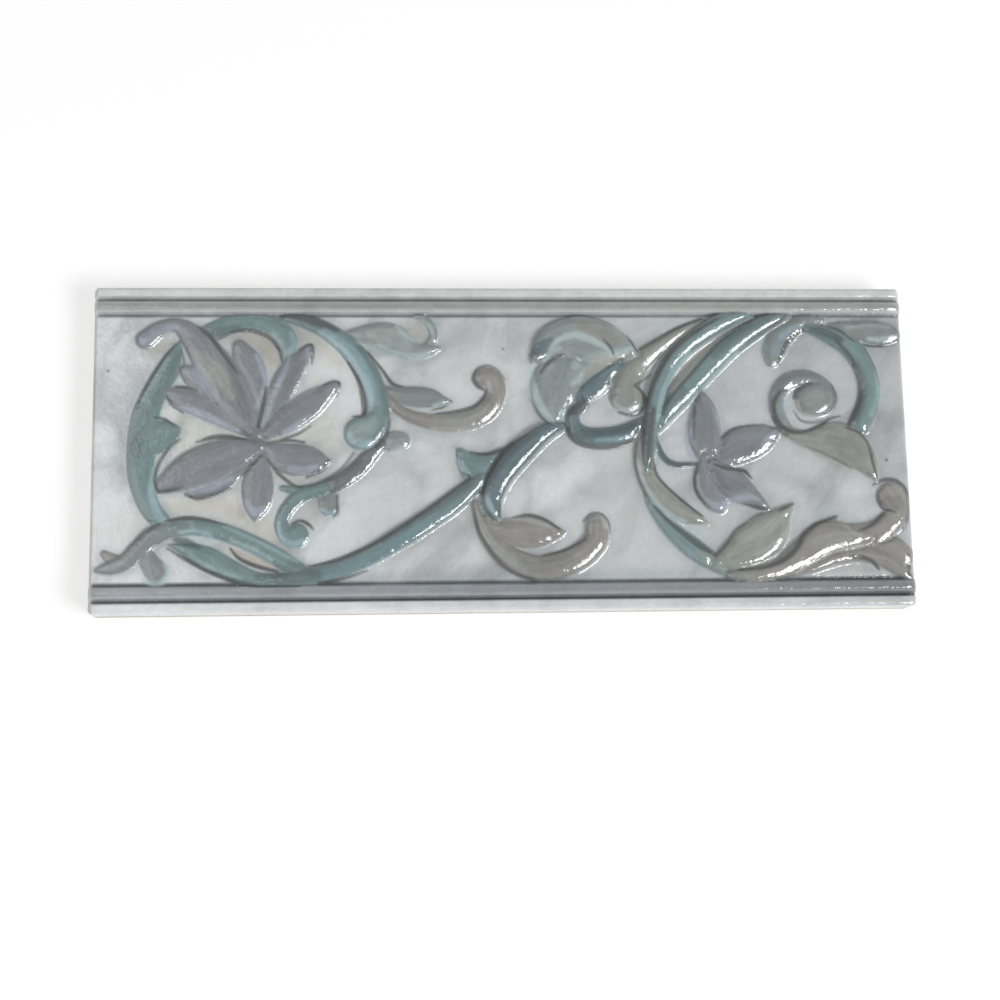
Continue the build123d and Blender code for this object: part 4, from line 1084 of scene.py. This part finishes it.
# %% [markdown]
# ## Studio
#
# The photo shows the tile from above on white, lit by one long soft light from the lower right and a
# smaller one from the left, with the ground itself free of any reflection. A gloss glaze shows the
# lights themselves, so their size and place make the look: strips low at the side light up the flanks
# of the ridges and nothing stands where the flat ground would mirror it to the camera. The floor glows
# softly for the camera and in reflections, and is plain matt to all other light, so that it looks white
# without lighting the tile. It ends in a low pale wall.

# %% White floor and world
floor_mesh = bpy.data.meshes.new("floor")
sky_strength = 0.39
floor_reach = 6.0
wall_height = 2.6
floor_square = [(-1, -1), (1, -1), (1, 1), (-1, 1)]
floor_points = [(x * floor_reach, y * floor_reach, 0) for x, y in floor_square]
floor_points += [(x, y, wall_height) for x, y, z in floor_points]
floor_walls = [((i + 1) % 4, i, i + 4, (i + 1) % 4 + 4) for i in range(4)]
floor_mesh.from_pydata(floor_points, [], [(0, 1, 2, 3)] + floor_walls)
floor = bpy.data.objects.new("floor", floor_mesh)
floor.location.z = -0.0002
bpy.context.scene.collection.objects.link(floor)
floor_paint = bpy.data.materials.new("floor_white")
floor_paint.use_nodes = True
floor_mesh.materials.append(floor_paint)
nodes = floor_paint.node_tree.nodes
links = floor_paint.node_tree.links
nodes.clear()
rays = nodes.new("ShaderNodeLightPath")
seen = nodes.new("ShaderNodeMath")
seen.operation = "MAXIMUM"
links.new(rays.outputs["Is Camera Ray"], seen.inputs[0])
links.new(rays.outputs["Is Glossy Ray"], seen.inputs[1])
seen_too = nodes.new("ShaderNodeMath")
seen_too.operation = "MAXIMUM"
links.new(seen.outputs[0], seen_too.inputs[0])
links.new(rays.outputs["Is Transmission Ray"], seen_too.inputs[1])
matt = nodes.new("ShaderNodeBsdfDiffuse")
matt.inputs["Color"].default_value = (0.8, 0.8, 0.8, 1)
dim = nodes.new("ShaderNodeBsdfDiffuse")
dim.inputs["Color"].default_value = (0.45, 0.45, 0.45, 1)
glow = nodes.new("ShaderNodeEmission")
glow.inputs["Color"].default_value = (1, 1, 1, 1)
glow.inputs["Strength"].default_value = 0.6
white = nodes.new("ShaderNodeAddShader")
links.new(dim.outputs[0], white.inputs[0])
links.new(glow.outputs[0], white.inputs[1])
choose = nodes.new("ShaderNodeMixShader")
links.new(seen_too.outputs[0], choose.inputs[0])
links.new(matt.outputs[0], choose.inputs[1])
links.new(white.outputs[0], choose.inputs[2])
floor_out = nodes.new("ShaderNodeOutputMaterial")
links.new(choose.outputs[0], floor_out.inputs["Surface"])

world = bpy.data.worlds.new("studio")
bpy.context.scene.world = world
world.use_nodes = True
sky = world.node_tree.nodes["Background"]
sky.inputs["Color"].default_value = (1.0, 1.0, 1.0, 1)
sky.inputs["Strength"].default_value = sky_strength
print(f"floor {2 * floor_reach} m wide, world at {sky_strength}")

# %% Soft lights


def soft_light(name, azimuth, elevation, distance, width, height, power):
    """A rectangular light that faces the tile from a direction given in degrees."""
    lamp = bpy.data.lights.new(name, "AREA")
    lamp.shape = "RECTANGLE"
    lamp.size = width
    lamp.size_y = height
    lamp.energy = power
    holder = bpy.data.objects.new(name, lamp)
    flat = math.cos(math.radians(elevation)) * distance
    holder.location = (flat * math.cos(math.radians(azimuth)), flat * math.sin(math.radians(azimuth)),
                       math.sin(math.radians(elevation)) * distance)
    holder.rotation_euler = (-holder.location).to_track_quat("-Z", "Y").to_euler()
    bpy.context.scene.collection.objects.link(holder)
    return holder


soft_light("side_strip", -32, 44, 1.2, 0.62, 0.42, 10.5)
soft_light("window", 178, 50, 0.42, 0.3, 0.3, 0.25)
print(len(bpy.data.lights), "soft lights")

# %% Camera at the photo's angle
camera_roll = 20.928
eye = bpy.data.cameras.new("photo_camera")
eye.sensor_width = 36
eye.lens = 60.12
eye.clip_start = 0.01
camera = bpy.data.objects.new("photo_camera", eye)
bpy.context.scene.collection.objects.link(camera)
camera.location = Vector((-28.8, -81.6, 407.1)) * MM
aim = Vector((-1.74, -13.39, 9.0)) * MM - camera.location
camera.rotation_mode = "QUATERNION"
camera.rotation_quaternion = aim.to_track_quat("-Z", "Y") @ Quaternion((0, 0, 1), math.radians(camera_roll))
bpy.context.scene.camera = camera
bpy.context.scene.view_settings.view_transform = "Standard"
print("camera at", [round(part, 3) for part in camera.location])
